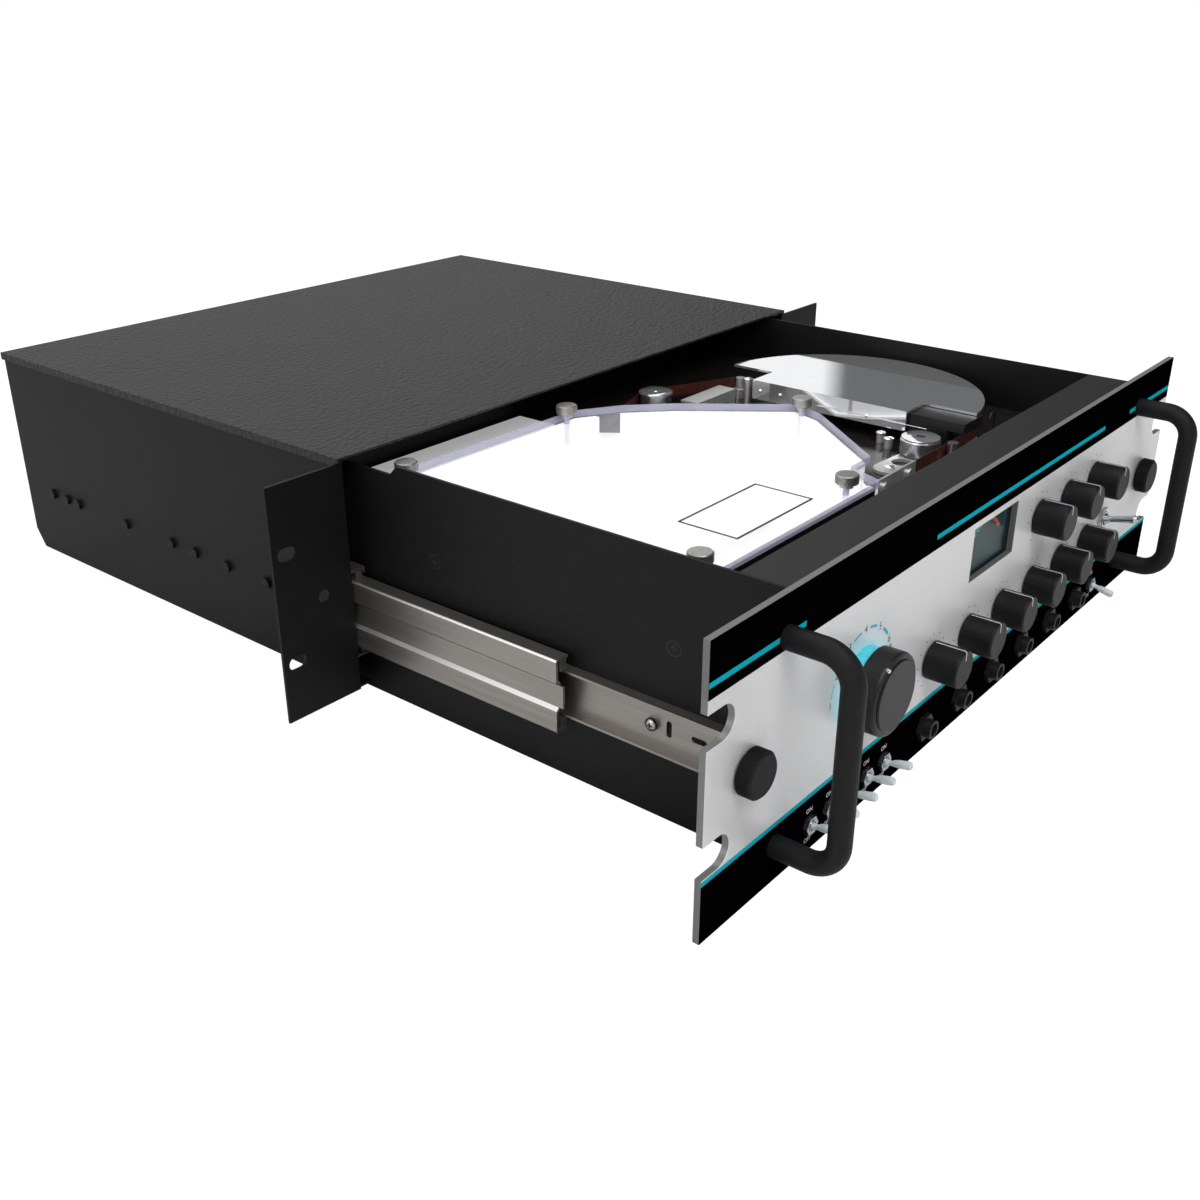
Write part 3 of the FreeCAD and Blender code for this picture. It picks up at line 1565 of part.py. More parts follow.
# Capstan with its flywheel, turning in the motor
motor_top = deck_under
motor_low = motor_top - motor_height
wheel_gap = 2.0
wheel_thick = 8.0
wheel_radius = 28.0
wheel_top = motor_low - wheel_gap
capstan_top = tape_high + 1.2
capstan_profile = [
    (0, wheel_top - wheel_thick),
    (wheel_radius, wheel_top - wheel_thick),
    (wheel_radius, wheel_top),
    (capstan_radius, wheel_top),
    (capstan_radius, capstan_top),
    (0, capstan_top),
]
capstan = turned(
    "capstan_turned", "XZ_Plane", capstan_profile, (capstan_across, behind(capstan_back), 0)
)
node(capstan, "capstan")
motor_bore = capstan_radius + bore_clearance
motor_profile = [
    (motor_bore, motor_low),
    (motor_radius, motor_low),
    (motor_radius, motor_top),
    (motor_bore, motor_top),
]
motor = turned(
    "motor_turned", "XZ_Plane", motor_profile, (capstan_across, behind(capstan_back), 0)
)
node(motor, "drive_motor")

# Pinch arm on its pivot, and the roller on the arm's pin
arm_low = deck_top + seat_gap
arm_top = arm_low + arm_thick
arm_pivot_radius = 2.5
pin_gap = bore_clearance
arm_run = (pinch_across - arm_across).number
arm_rise = (pinch_back - arm_back).number
arm_angle = math.degrees(math.atan2(arm_rise, arm_run))
arm_span = math.hypot(arm_run, arm_rise)
arm_bar = box("arm_bar", (0, -arm_width / 2, 0), (arm_span, arm_width, arm_thick))
arm_round = rod("arm_round", (0, 0, 0), arm_width / 2, arm_thick)
arm_end = rod("arm_end", (arm_span, 0, 0), arm_width / 2, arm_thick)
arm_pin_radius = 2.2
arm_window_radius = 5.5
roller_low = arm_top + seat_gap
roller_top = roller_low + pinch_height
arm_pin = rod("arm_pin", (arm_span, 0, 0), arm_pin_radius, pinch_height + arm_thick + seat_gap)
arm_hub_bore = rod("arm_hub_bore", (0, 0, -arm_thick), arm_pivot_radius + pin_gap, 3 * arm_thick)
arm_window = rod("arm_window", (arm_span * 0.4, 0, -arm_thick), arm_window_radius, 3 * arm_thick)
arm_plate = join("arm_plate", [arm_bar, arm_round, arm_end, arm_pin])
arm = cut("arm_cut", arm_plate, [arm_hub_bore, arm_window])
move(arm, (arm_across, behind(arm_back), arm_low), FreeCAD.Rotation(axis_z, arm_angle))
node(arm, "pinch_arm")
roller_bevel = 1.2
roller_bore = arm_pin_radius + pin_gap
roller_profile = [
    (roller_bore, roller_low),
    (pinch_radius - roller_bevel, roller_low),
    (pinch_radius, roller_low + roller_bevel),
    (pinch_radius, roller_top - roller_bevel),
    (pinch_radius - roller_bevel, roller_top),
    (roller_bore, roller_top),
]
pinch_roller = turned(
    "pinch_roller_turned", "XZ_Plane", roller_profile, (pinch_across, behind(pinch_back), 0)
)
node(pinch_roller, "pinch_roller")

# Idler roller with two flanges, on a post of the deck
idler_foot = tape_rise - 3 * seat_gap
idler_low = deck_top + seat_gap
idler_top = tape_high + 1.4
idler_post_radius = 2.5
idler_bore = idler_post_radius + bore_clearance
idler_profile = [
    (idler_bore, idler_low),
    (flange_radius, idler_low),
    (flange_radius, idler_low + idler_foot),
    (idler_radius, idler_low + idler_foot),
    (idler_radius, tape_high + seat_gap),
    (flange_radius, tape_high + seat_gap),
    (flange_radius, idler_top),
    (idler_bore, idler_top),
]
idler = turned(
    "idler_turned", "XZ_Plane", idler_profile, (idler_across, behind(idler_back), 0)
)
node(idler, "idler_roller")
pivots = [
    rod("idler_post", (idler_across, behind(idler_back), deck_top), idler_post_radius, idler_top - deck_top),
    rod("arm_post", (arm_across, behind(arm_back), deck_top), arm_pivot_radius, arm_thick + 3 * seat_gap),
]
guide_group = doc.getObject("guide_group")
guide_group.Links = guides + pivots

# Mains transformer on the drawer floor
core_left = 106.0
core_front = 186.0
winding_over = 7.0
transformer_core = box(
    "transformer_core",
    (core_left, behind(core_front), floor_top),
    (core_width, core_depth, core_height),
)
transformer_winding = box(
    "transformer_winding",
    (core_left + 10, behind(core_front - winding_over), floor_top + 10),
    (core_width - 20, core_depth + 2 * winding_over, core_height - 20),
)
node(join("transformer_parts", [transformer_core, transformer_winding]), "power_transformer")

# Main circuit board on its standoffs
board_front = 66.0
board_left = -board_width / 2
board_low = floor_top + board_rise
board_parts = [
    box("board_sheet", (board_left, behind(board_front), board_low), (board_width, board_depth, board_thick))
]
standoff_inset = 8.0
standoff_radius = 3.0
for side in (-1, 1):
    for depth in (board_front + standoff_inset, board_front + board_depth - standoff_inset):
        count = len(board_parts)
        board_parts.append(
            rod(
                f"standoff_{count}",
                (side * (board_width / 2 - standoff_inset), behind(depth), floor_top),
                standoff_radius,
                board_rise,
            )
        )
board_face = board_low + board_thick
for row in range(3):
    for column in range(5):
        spot = (
            board_left + part_margin + column * part_column,
            behind(board_front + part_margin + row * part_row),
            board_face,
        )
        if (row + column) % 2:
            board_parts.append(rod(f"capacitor_{row}_{column}", spot, capacitor_radius, capacitor_height))
        else:
            board_parts.append(box(f"chip_{row}_{column}", spot, (chip_length, chip_width, chip_height)))
node(join("board_whole", board_parts), "main_board")

# Spring reverb tank along the left wall
tank_left = 168.0
tank_front = 36.0
tank_sheet = 1.0
tank_shell = box(
    "tank_shell",
    (-tank_left, behind(tank_front), floor_top),
    (tank_width, tank_length, tank_height),
)
tank_hollow = box(
    "tank_hollow",
    (-tank_left + tank_sheet, behind(tank_front + tank_sheet), floor_top + tank_sheet),
    (tank_width - 2 * tank_sheet, tank_length - 2 * tank_sheet, tank_height),
)
node(cut("tank_cut", tank_shell, [tank_hollow]), "spring_tank")

# Rear sockets and the mains inlet in the drawer rear panel
rear_face = behind(drawer_depth)
socket_case_half = 8.0
socket_nut_radius = 7.0
sockets = []
for count, place in enumerate(rear_socket_places):
    case = box(
        f"socket_case_{count}",
        (place - socket_case_half, rear_face - drawer_sheet - jack_body + nut_thick, inlet_middle - socket_case_half),
        (2 * socket_case_half, jack_body - nut_thick, 2 * socket_case_half),
    )
    bush = rod(
        f"socket_bush_{count}",
        (place, rear_face - drawer_sheet, inlet_middle),
        jack_bush - seat_gap / 3,
        drawer_sheet + nut_thick,
        "Y",
    )
    nut = rod(f"socket_nut_{count}", (place, rear_face, inlet_middle), socket_nut_radius, nut_thick, "Y")
    bore = rod(
        f"socket_bore_{count}",
        (place, rear_face - jack_body + 3 * nut_thick, inlet_middle),
        jack_bore,
        jack_body,
        "Y",
    )
    sockets.append(cut(f"socket_{count}", join(f"socket_solid_{count}", [case, bush, nut]), [bore]))
inlet_fit = seat_gap / 3
inlet_case = box(
    "inlet_case",
    (
        inlet_across - inlet_width / 2 + inlet_fit,
        rear_face - inlet_depth,
        inlet_middle - inlet_height / 2 + inlet_fit,
    ),
    (inlet_width - 2 * inlet_fit, inlet_depth, inlet_height - 2 * inlet_fit),
)
inlet_flange = box(
    "inlet_flange",
    (inlet_across - inlet_width / 2 - 5, rear_face, inlet_middle - inlet_height / 2 - 2),
    (inlet_width + 10, nut_thick, inlet_height + 4),
)
inlet_hollow = box(
    "inlet_hollow",
    (inlet_across - inlet_width / 2 + 3, rear_face - inlet_depth + 5, inlet_middle - inlet_height / 2 + 4),
    (inlet_width - 6, inlet_depth, inlet_height - 8),
)
blade_width = 1.6
blades = [
    box(
        f"inlet_blade_{count}",
        (inlet_across + shift - blade_width / 2, rear_face - inlet_depth + 4, inlet_middle + rise),
        (blade_width, inlet_depth - 8, 5),
    )
    for count, (shift, rise) in enumerate(((-7, -5), (0, 0), (7, -5)))
]
inlet_shell = cut("inlet_shell", join("inlet_solid", [inlet_case, inlet_flange]), [inlet_hollow])
sockets.append(join("inlet", [inlet_shell] + blades))
node(group("socket_group", sockets), "rear_sockets")

# Check every object, then write each named piece
doc.recompute()
faults = []
for thing in doc.Objects:
    if "Invalid" in thing.State or "Error" in thing.State:
        faults.append(f"{thing.Label}: {thing.State}")
    elif hasattr(thing, "Shape") and not thing.Shape.isNull() and not thing.Shape.isValid():
        faults.append(f"{thing.Label}: shape not valid")
for piece in nodes:
    if piece.Shape.isNull() or piece.Shape.Volume <= 0 or not piece.Shape.Solids:
        faults.append(f"{piece.Label}: no solid")
if faults:
    raise RuntimeError("; ".join(faults))
os.makedirs("parts", exist_ok=True)
for piece in nodes:
    piece.Shape.exportStep(f"parts/{piece.Label}.step")
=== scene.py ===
import math

import bmesh
import bpy
from mathutils import Matrix, Vector


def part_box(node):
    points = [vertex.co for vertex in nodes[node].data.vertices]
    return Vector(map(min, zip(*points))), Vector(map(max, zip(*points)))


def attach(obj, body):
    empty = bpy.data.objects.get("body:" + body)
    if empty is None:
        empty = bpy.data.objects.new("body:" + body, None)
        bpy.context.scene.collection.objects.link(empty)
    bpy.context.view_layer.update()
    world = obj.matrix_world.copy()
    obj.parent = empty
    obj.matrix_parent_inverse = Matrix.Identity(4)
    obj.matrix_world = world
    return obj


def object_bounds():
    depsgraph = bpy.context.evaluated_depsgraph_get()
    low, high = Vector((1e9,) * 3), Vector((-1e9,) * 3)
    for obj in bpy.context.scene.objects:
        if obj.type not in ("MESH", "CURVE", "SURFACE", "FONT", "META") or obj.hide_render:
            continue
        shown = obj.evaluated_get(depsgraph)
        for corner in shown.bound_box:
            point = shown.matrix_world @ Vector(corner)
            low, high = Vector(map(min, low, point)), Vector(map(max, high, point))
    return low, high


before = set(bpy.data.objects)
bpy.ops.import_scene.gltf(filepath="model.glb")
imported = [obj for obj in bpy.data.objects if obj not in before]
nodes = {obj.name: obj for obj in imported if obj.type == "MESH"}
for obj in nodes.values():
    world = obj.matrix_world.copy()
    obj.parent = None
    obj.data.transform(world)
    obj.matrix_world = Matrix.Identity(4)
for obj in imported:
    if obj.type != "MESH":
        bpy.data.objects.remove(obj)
cad_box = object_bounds()

# Camera, from the place the photograph was taken: low over the left front corner,
# a normal lens, looking along the drawer towards the far end of the panel.
camera_place = (-0.58282, -0.47593, 0.27542)
camera_azimuth = math.radians(-50.73)
camera_drop = math.radians(25.28)


def placed(name, data):
    """An object of the scene that shows some data."""
    made = bpy.data.objects.new(name, data)
    bpy.context.scene.collection.objects.link(made)
    return made


camera_data = bpy.data.cameras.new("camera")
camera_data.sensor_width = 36
camera_data.lens = 39.953
camera_data.clip_start = 0.01
camera = placed("camera", camera_data)
camera.location = camera_place
camera.rotation_euler = (math.pi / 2 - camera_drop, 0, camera_azimuth)
bpy.context.scene.camera = camera
bpy.context.scene.view_settings.view_transform = "Standard"

# Sleeve: the housing that stays in the rack, of folded sheet steel. The cover has a fine
# wrinkled powder coat. The side plates, bent out in front as the rack ears, are smoother.


def new_material(name):
    """An empty node material and its tree."""
    material = bpy.data.materials.new(name)
    material.use_nodes = True
    material.node_tree.nodes.clear()
    return material, material.node_tree


def fill(tree, socket, value):
    """Links a socket to another one, or sets its value."""
    if isinstance(value, bpy.types.NodeSocket):
        tree.links.new(value, socket)
    else:
        socket.default_value = value


def add(tree, kind, inputs=None, **settings):
    """One node, its plain attributes set, its sockets filled or linked."""
    made = tree.nodes.new(kind)
    for key, value in settings.items():
        setattr(made, key, value)
    for key, value in (inputs or {}).items():
        fill(tree, made.inputs[key], value)
    return made


def sockets(group, direction, **kinds):
    """Named inputs or outputs of a node group."""
    for name, kind in kinds.items():
        group.interface.new_socket(
            name.replace("_", " "), in_out=direction, socket_type="NodeSocket" + kind
        )


def scaled(tree, value, low, high, start=0.0, end=1.0, **settings):
    """A value carried over from the range start to end to the range low to high."""
    limits = {"From Min": start, "From Max": end, "To Min": low, "To Max": high}
    made = add(tree, "ShaderNodeMapRange", inputs={"Value": value, **limits}, **settings)
    return made.outputs[0]


def colour(red, green, blue):
    """A colour as a socket takes it."""
    return (red, green, blue, 1.0)


def surface(tree, **inputs):
    """The shader and the output at the end of a material."""
    named = {key.replace("_", " "): value for key, value in inputs.items()}
    shader = add(tree, "ShaderNodeBsdfPrincipled", inputs=named)
    add(tree, "ShaderNodeOutputMaterial", inputs={"Surface": shader.outputs[0]})


def grain_group():
    """Shared effect: a fine sprayed or moulded grain, as a mask and a normal."""
    group = bpy.data.node_groups.new("fine_grain", "ShaderNodeTree")
    sockets(group, "INPUT", Size="Float", Depth="Float", Relief="Float", Stretch="Vector")
    sockets(group, "OUTPUT", Mask="Float", Normal="Vector")
    start = group.nodes.new("NodeGroupInput")
    place = add(group, "ShaderNodeTexCoord")
    spread = add(
        group,
        "ShaderNodeVectorMath",
        operation="MULTIPLY",
        inputs={0: place.outputs["Object"], 1: start.outputs["Stretch"]},
    )
    noise = add(
        group,
        "ShaderNodeTexNoise",
        inputs={"Vector": spread.outputs[0], "Scale": start.outputs["Size"], "Detail": 3.0},
    )
    bump = add(
        group,
        "ShaderNodeBump",
        inputs={
            "Height": noise.outputs["Fac"],
            "Strength": start.outputs["Depth"],
            "Distance": start.outputs["Relief"],
        },
    )
    end = group.nodes.new("NodeGroupOutput")
    group.links.new(noise.outputs["Fac"], end.inputs["Mask"])
    group.links.new(bump.outputs["Normal"], end.inputs["Normal"])
    return group


fine_grain = grain_group()


def grain(tree, size, depth, relief=0.0004, stretch=(1, 1, 1)):
    """The grain in one material: its mask and its normal."""
    values = {"Size": size, "Depth": depth, "Relief": relief, "Stretch": stretch}
    made = add(tree, "ShaderNodeGroup", inputs=values, node_tree=fine_grain)
    return made.outputs["Mask"], made.outputs["Normal"]


def ramp(tree, mask, low, high):
    """A colour that goes from low to high over the middle of a mask."""
    made = add(tree, "ShaderNodeValToRGB", inputs={"Fac": mask})
    for element, position, shade in zip(made.color_ramp.elements, (0.3, 0.7), (low, high)):
        element.position = position
        element.color = colour(*shade)
    return made.outputs["Color"]


def finish_material(name, low, high, rough, size, depth, metal=0.0, relief=0.0004, **more):
    """A finish whose colour goes from low to high, and whose roughness varies, with its grain."""
    material, tree = new_material(name)
    mask, normal = grain(tree, size, depth, relief)
    surface(
        tree,
        Base_Color=ramp(tree, mask, low, high),
        Roughness=scaled(tree, mask, rough * 0.85, min(1, rough * 1.15)),
        Metallic=metal,
        Normal=normal,
        **more,
    )
    return material


def dress(material, *names):
    """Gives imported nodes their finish."""
    for name in names:
        piece = nodes[name]
        piece.data.materials.clear()
        piece.data.materials.append(material)


cover_coat = finish_material(
    "wrinkle_coat",
    low=(0.009, 0.009, 0.0094),
    high=(0.020, 0.020, 0.0207),
    rough=0.55,
    size=330,
    depth=1.0,
    relief=0.0016,
    Specular_IOR_Level=0.28,
)
side_coat = finish_material(
    "black_coat",
    low=(0.0050, 0.0050, 0.0052),
    high=(0.0085, 0.0085, 0.0088),
    rough=0.5,
    size=1500,
    depth=0.18,
    Specular_IOR_Level=0.14,
)
dress(cover_coat, "sleeve_cover")
dress(side_coat, "sleeve_side_left", "sleeve_side_right", "sleeve_rear_panel")

# Sleeve screws: black steel heads in a row on each side plate, which hold the outer rails
# of the slides. Each head has a crossed recess, drawn as a thin dark inlay of painted shade.
black_screw = finish_material(
    "black_screw",
    low=(0.004, 0.004, 0.004),
    high=(0.007, 0.007, 0.007),
    rough=0.45,
    size=900,
    depth=0.1,
    Specular_IOR_Level=0.16,
)
# Near black, painted on as thin inlays for the shade inside recesses.
recess_painted_shade = finish_material(
    "recess_painted_shade",
    low=(0.0015, 0.0015, 0.0015),
    high=(0.003, 0.003, 0.003),
    rough=0.6,
    size=500,
    depth=0.05,
)
dress(black_screw, "sleeve_screws")


def mesh_piece(name, points, faces, material, body):
    """A new piece in the frame's own metres, riding on a body."""
    mesh = bpy.data.meshes.new(name)
    mesh.from_pydata(points, [], faces)
    mesh.validate()
    mesh.materials.append(material)
    piece = placed(name, mesh)
    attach(piece, body)
    return piece


def merged(parts):
    """Several point and face lists as one."""
    points = []
    faces = []
    for more_points, more_faces in parts:
        shift = len(points)
        points += more_points
        faces += [tuple(index + shift for index in face) for face in more_faces]
    return points, faces


def finished_mesh(made):
    """The plain mesh that an object comes out as. The object itself goes."""
    bpy.context.view_layer.update()
    graph = bpy.context.evaluated_depsgraph_get()
    mesh = bpy.data.meshes.new_from_object(made.evaluated_get(graph))
    bpy.data.objects.remove(made)
    return mesh


def emptied(mesh):
    """The points and faces of a mesh, which goes."""
    points = [tuple(vert.co) for vert in mesh.vertices]
    faces = [tuple(face.vertices) for face in mesh.polygons]
    bpy.data.meshes.remove(mesh)
    return points, faces


def grown(group, values, points=((0, 0, 0),)):
    """The plain mesh that a geometry group gives, on one point or several."""
    base = bpy.data.meshes.new("base")
    base.from_pydata(points, [], [])
    holder = placed("base", base)
    modifier = holder.modifiers.new("grow", "NODES")
    modifier.node_group = group
    for item in group.interface.items_tree:
        if item.in_out == "INPUT" and item.name in values:
            modifier[item.identifier] = values[item.name]
    holder.update_tag()
    return finished_mesh(holder)


def grown_piece(name, meshes, material, body):
    """Meshes from a group, each with its own place, as one piece on a body."""
    parts = []
    for mesh, matrix in meshes:
        mesh.transform(matrix)
        parts.append(emptied(mesh))
    points, faces = merged(parts)
    mesh_piece(name, points, faces, material, body)


def end_tree(group, copies, start):
    """Makes a tree's copies real and paints them with the group's material."""
    real = add(group, "GeometryNodeRealizeInstances", inputs={0: copies.outputs[0]})
    painted = add(
        group,
        "GeometryNodeSetMaterial",
        inputs={"Geometry": real.outputs[0], "Material": start.outputs["Material"]},
    )
    end = group.nodes.new("NodeGroupOutput")
    group.links.new(painted.outputs[0], end.inputs["Geometry"])


def cross_group():
    """Crossed bars on every point of the mesh that carries the modifier."""
    group = bpy.data.node_groups.new("crossed_recess", "GeometryNodeTree")
    sockets(group, "INPUT", Geometry="Geometry", Bar="Vector", Other_Bar="Vector", Material="Material")
    sockets(group, "OUTPUT", Geometry="Geometry")
    start = group.nodes.new("NodeGroupInput")
    first = add(group, "GeometryNodeMeshCube", inputs={"Size": start.outputs["Bar"]})
    second = add(group, "GeometryNodeMeshCube", inputs={"Size": start.outputs["Other Bar"]})
    both = group.nodes.new("GeometryNodeJoinGeometry")
    group.links.new(first.outputs["Mesh"], both.inputs[0])
    group.links.new(second.outputs["Mesh"], both.inputs[0])
    copies = add(
        group,
        "GeometryNodeInstanceOnPoints",
        inputs={"Points": start.outputs["Geometry"], "Instance": both.outputs[0]},
    )
    end_tree(group, copies, start)
    return group


crossed_recess = cross_group()


def recesses(name, spots, bar, body):
    """One piece: crossed recesses in the screw heads of a side wall, drawn as dark bars of painted shade.
    """
    thick, long, wide = bar
    values = {"Bar": (thick, long, wide), "Other Bar": (thick, wide, long), "Material": recess_painted_shade}
    crosses = grown(crossed_recess, values, spots)
    grown_piece(name, [(crosses, Matrix())], recess_painted_shade, body)


def islands(name):
    """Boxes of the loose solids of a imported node."""
    work = bmesh.new()
    work.from_mesh(nodes[name].data)
    bmesh.ops.remove_doubles(work, verts=work.verts, dist=1e-6)
    seen = set()
    boxes = []
    for seed in work.verts:
        if seed in seen:
            continue
        seen.add(seed)
        waiting = [seed]
        found = []
        while waiting:
            vert = waiting.pop()
            found.append(tuple(vert.co))
            for edge in vert.link_edges:
                other = edge.other_vert(vert)
                if other not in seen:
                    seen.add(other)
                    waiting.append(other)
        low = [min(p[k] for p in found) for k in range(3)]
        high = [max(p[k] for p in found) for k in range(3)]
        boxes.append((low, high))
    work.free()
    return boxes


def centre(low, high):
    """The middle of a box."""
    return tuple((a + b) / 2 for a, b in zip(low, high))


def side_head(low, high):
    """The middle of a screw head's outer face, and its side: 1 right, -1 left."""
    side = 1 if low[0] > 0 else -1
    outer = high[0] if side > 0 else low[0]
    return (outer, *centre(low, high)[1:]), side


flush_bar = (0.00014, 0.0034, 0.0007)
sleeve_spots = [side_head(low, high)[0] for low, high in islands("sleeve_screws")]
recesses("sleeve_recesses", sleeve_spots, flush_bar, "sleeve")

# Telescopic slides: rolled, zinc plated steel, drawn along their length, so the grain
# runs front to back. The rounded bends get a painted highlight facing up, painted shade facing down.


def maths(tree, operation, first, second=0.0):
    """The result of one sum."""
    return add(tree, "ShaderNodeMath", operation=operation, inputs={0: first, 1: second}).outputs[0]


def axes(tree, source):
    """X, Y and Z of a texture coordinate."""
    place = add(tree, "ShaderNodeTexCoord")
    split = add(tree, "ShaderNodeSeparateXYZ", inputs={0: place.outputs[source]})
    return tuple(split.outputs)


def between(tree, value, low, high):
    """1 where a value lies between two others."""
    above = maths(tree, "GREATER_THAN", value, low)
    below = maths(tree, "LESS_THAN", value, high)
    return maths(tree, "MULTIPLY", above, below)


def mix(tree, factor, first, second):
    """One of two colours, by a mask."""
    made = add(tree, "ShaderNodeMix", data_type="RGBA")
    for socket, value in ((0, factor), (6, first), (7, second)):
        fill(tree, made.inputs[socket], value)
    return made.outputs[2]


bend_tilt = (0.25, 0.96)
rail_steel, tree = new_material("rail_steel")
mask, normal = grain(tree, 260, 0.05, stretch=(1, 0.04, 1))
shade = ramp(tree, mask, (0.27, 0.255, 0.238), (0.34, 0.323, 0.302))
rise = axes(tree, "Normal")[2]
# Painted highlight where a face tilts up, painted shade where it tilts down, by its normal.
painted_bend_highlight = between(tree, rise, bend_tilt[0], bend_tilt[1])
painted_bend_shade = between(tree, rise, -bend_tilt[1], -bend_tilt[0])
shade = mix(tree, painted_bend_highlight, shade, colour(0.86, 0.84, 0.81))
shade = mix(tree, painted_bend_shade, shade, colour(0.13, 0.12, 0.11))
surface(tree, Base_Color=shade, Roughness=0.36, Metallic=0.9, Normal=normal)
dress(rail_steel, "outer_rails", "middle_rail_left", "middle_rail_right", "inner_rails")

# Drawer: a folded steel tray with a rear panel, coated like the sleeve's sides, and a
# rougher ledge screwed across its top behind the front panel.
ledge_coat = finish_material(
    "ledge_coat",
    low=(0.011, 0.011, 0.0115),
    high=(0.019, 0.019, 0.0197),
    rough=0.6,
    size=900,
    depth=0.5,
    Specular_IOR_Level=0.26,
)
dress(side_coat, "drawer_tray", "drawer_rear_panel")
dress(ledge_coat, "top_ledge")

# Drawer screws: black countersunk heads, flush with the tray's walls, each in a thin
# dark ring of painted shade at its sink, and plain steel pan heads that hold the inner rails to the tray.
plain_screw = finish_material(
    "plain_screw", (0.34, 0.34, 0.33), (0.48, 0.48, 0.47), rough=0.3, metal=0.95, size=900, depth=0.1
)
dress(black_screw, "drawer_screws")
tray_reach = 0.183
sink_radius = 0.0033
sink_shade_width = 0.0004
sink_rise = 0.00006
pan_radius = 0.0033
pan_height = 0.0027
pan_inset = 0.0018
pan_recess = 0.00255
pan_bar = (0.0004, 0.0026, 0.0006)
head_root = 0.0006


def side_ring(spot, side, radius, wide, rise, sides=40):
    """A flat ring round a place on a side wall."""
    points = []
    for reach in (radius, radius + wide):
        for step in range(sides):
            turn = 2 * math.pi * step / sides
            along = spot[1] + reach * math.cos(turn)
            points.append((spot[0] + side * rise, along, spot[2] + reach * math.sin(turn)))
    faces = []
    for step in range(sides):
        after = (step + 1) % sides
        quad = (step, sides + step, sides + after, after)
        faces.append(quad if side > 0 else quad[::-1])
    return points, faces


def clean_shell(piece, crease=math.radians(32)):
    """Merges the pole points, turns every face outward and shades it round, but for creases."""
    work = bmesh.new()
    work.from_mesh(piece.data)
    bmesh.ops.remove_doubles(work, verts=work.verts, dist=1e-7)
    bmesh.ops.recalc_face_normals(work, faces=work.faces)
    for face in work.faces:
        face.smooth = True
    for edge in work.edges:
        if len(edge.link_faces) == 2 and edge.calc_face_angle(0) > crease:
            edge.smooth = False
    work.to_mesh(piece.data)
    work.free()


def lathe(name, profile, place, material, body, along="Z", sides=96):
    """A turned piece: pairs of radius and reach, spun about Z, or about Y towards the front."""
    points = []
    for radius, reach in profile:
        for step in range(sides):
            turn = 2 * math.pi * step / sides
            a = radius * math.cos(turn)
            b = radius * math.sin(turn)
            offset = (a, -reach, b) if along == "Y" else (a, b, reach)
            points.append(tuple(p + q for p, q in zip(place, offset)))
    faces = []
    for ring in range(len(profile) - 1):
        for step in range(sides):
            after = (step + 1) % sides
            first = ring * sides
            second = first + sides
            quad = (first + step, first + after, second + after, second + step)
            faces.append(quad if along == "Z" else quad[::-1])
    piece = mesh_piece(name, points, faces, material, body)
    clean_shell(piece)
    return piece


def side_dome(name, spot, side, radius, rise, material):
    """A round head on the drawer that stands out sideways."""
    profile = [
        (0, -head_root),
        (radius, -head_root),
        (radius, 0.2 * rise),
        (0.85 * radius, 0.62 * rise),
        (0.5 * radius, 0.92 * rise),
        (0, rise),
    ]
    piece = lathe(name, profile, (0, 0, 0), material, "drawer", sides=40)
    swing = Matrix.Rotation(side * math.pi / 2, 4, "Y")
    piece.data.transform(Matrix.Translation(spot) @ swing)


flat_heads = []
pan_heads = []
for low, high in islands("drawer_screws"):
    spot, side = side_head(low, high)
    if abs(spot[0]) < tray_reach:
        flat_heads.append((spot, side))
    else:
        pan_heads.append((spot, side))
recesses("flat_recesses", [spot for spot, side in flat_heads], flush_bar, "drawer")
# Thin dark rings of painted shade round the flush heads, and dark crosses of painted shade in the pan
# heads.
rims = [side_ring(spot, side, sink_radius, sink_shade_width, sink_rise) for spot, side in flat_heads]
points, faces = merged(rims)
mesh_piece("flat_screw_shade_rings", points, faces, recess_painted_shade, "drawer")
pan_spots = []
for count, (spot, side) in enumerate(pan_heads):
    seat = (spot[0] - side * pan_inset, spot[1], spot[2])
    side_dome(f"pan_head_{count}", seat, side, pan_radius, pan_height, plain_screw)
    pan_spots.append((seat[0] + side * pan_recess, spot[1], spot[2]))
recesses("pan_recesses", pan_spots, pan_bar, "drawer")

# Front panel: aluminium plate, a satin silver field with printed black bands and two thin
# teal lines, bare at the sawn edges. The collar's cyan light on the silver is painted, as emission.
panel_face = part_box("front_panel")[0][1]
print_depth = 0.0002
upper_band = 0.04215
lower_band = -0.03885
upper_line = (0.04695, 0.04935)
lower_line = (-0.03885, -0.03655)
upper_line_runs = ((-0.2413, -0.176), (-0.0652, 0.1375), (0.1755, 0.2413))
teal = (0.006, 0.37, 0.46)
mode_place = (-0.1256, 0.0)
painted_glow_start = 0.0165
painted_glow_end = 0.031


def either(tree, first, second):
    """1 where either of two masks is."""
    return maths(tree, "MAXIMUM", first, second)


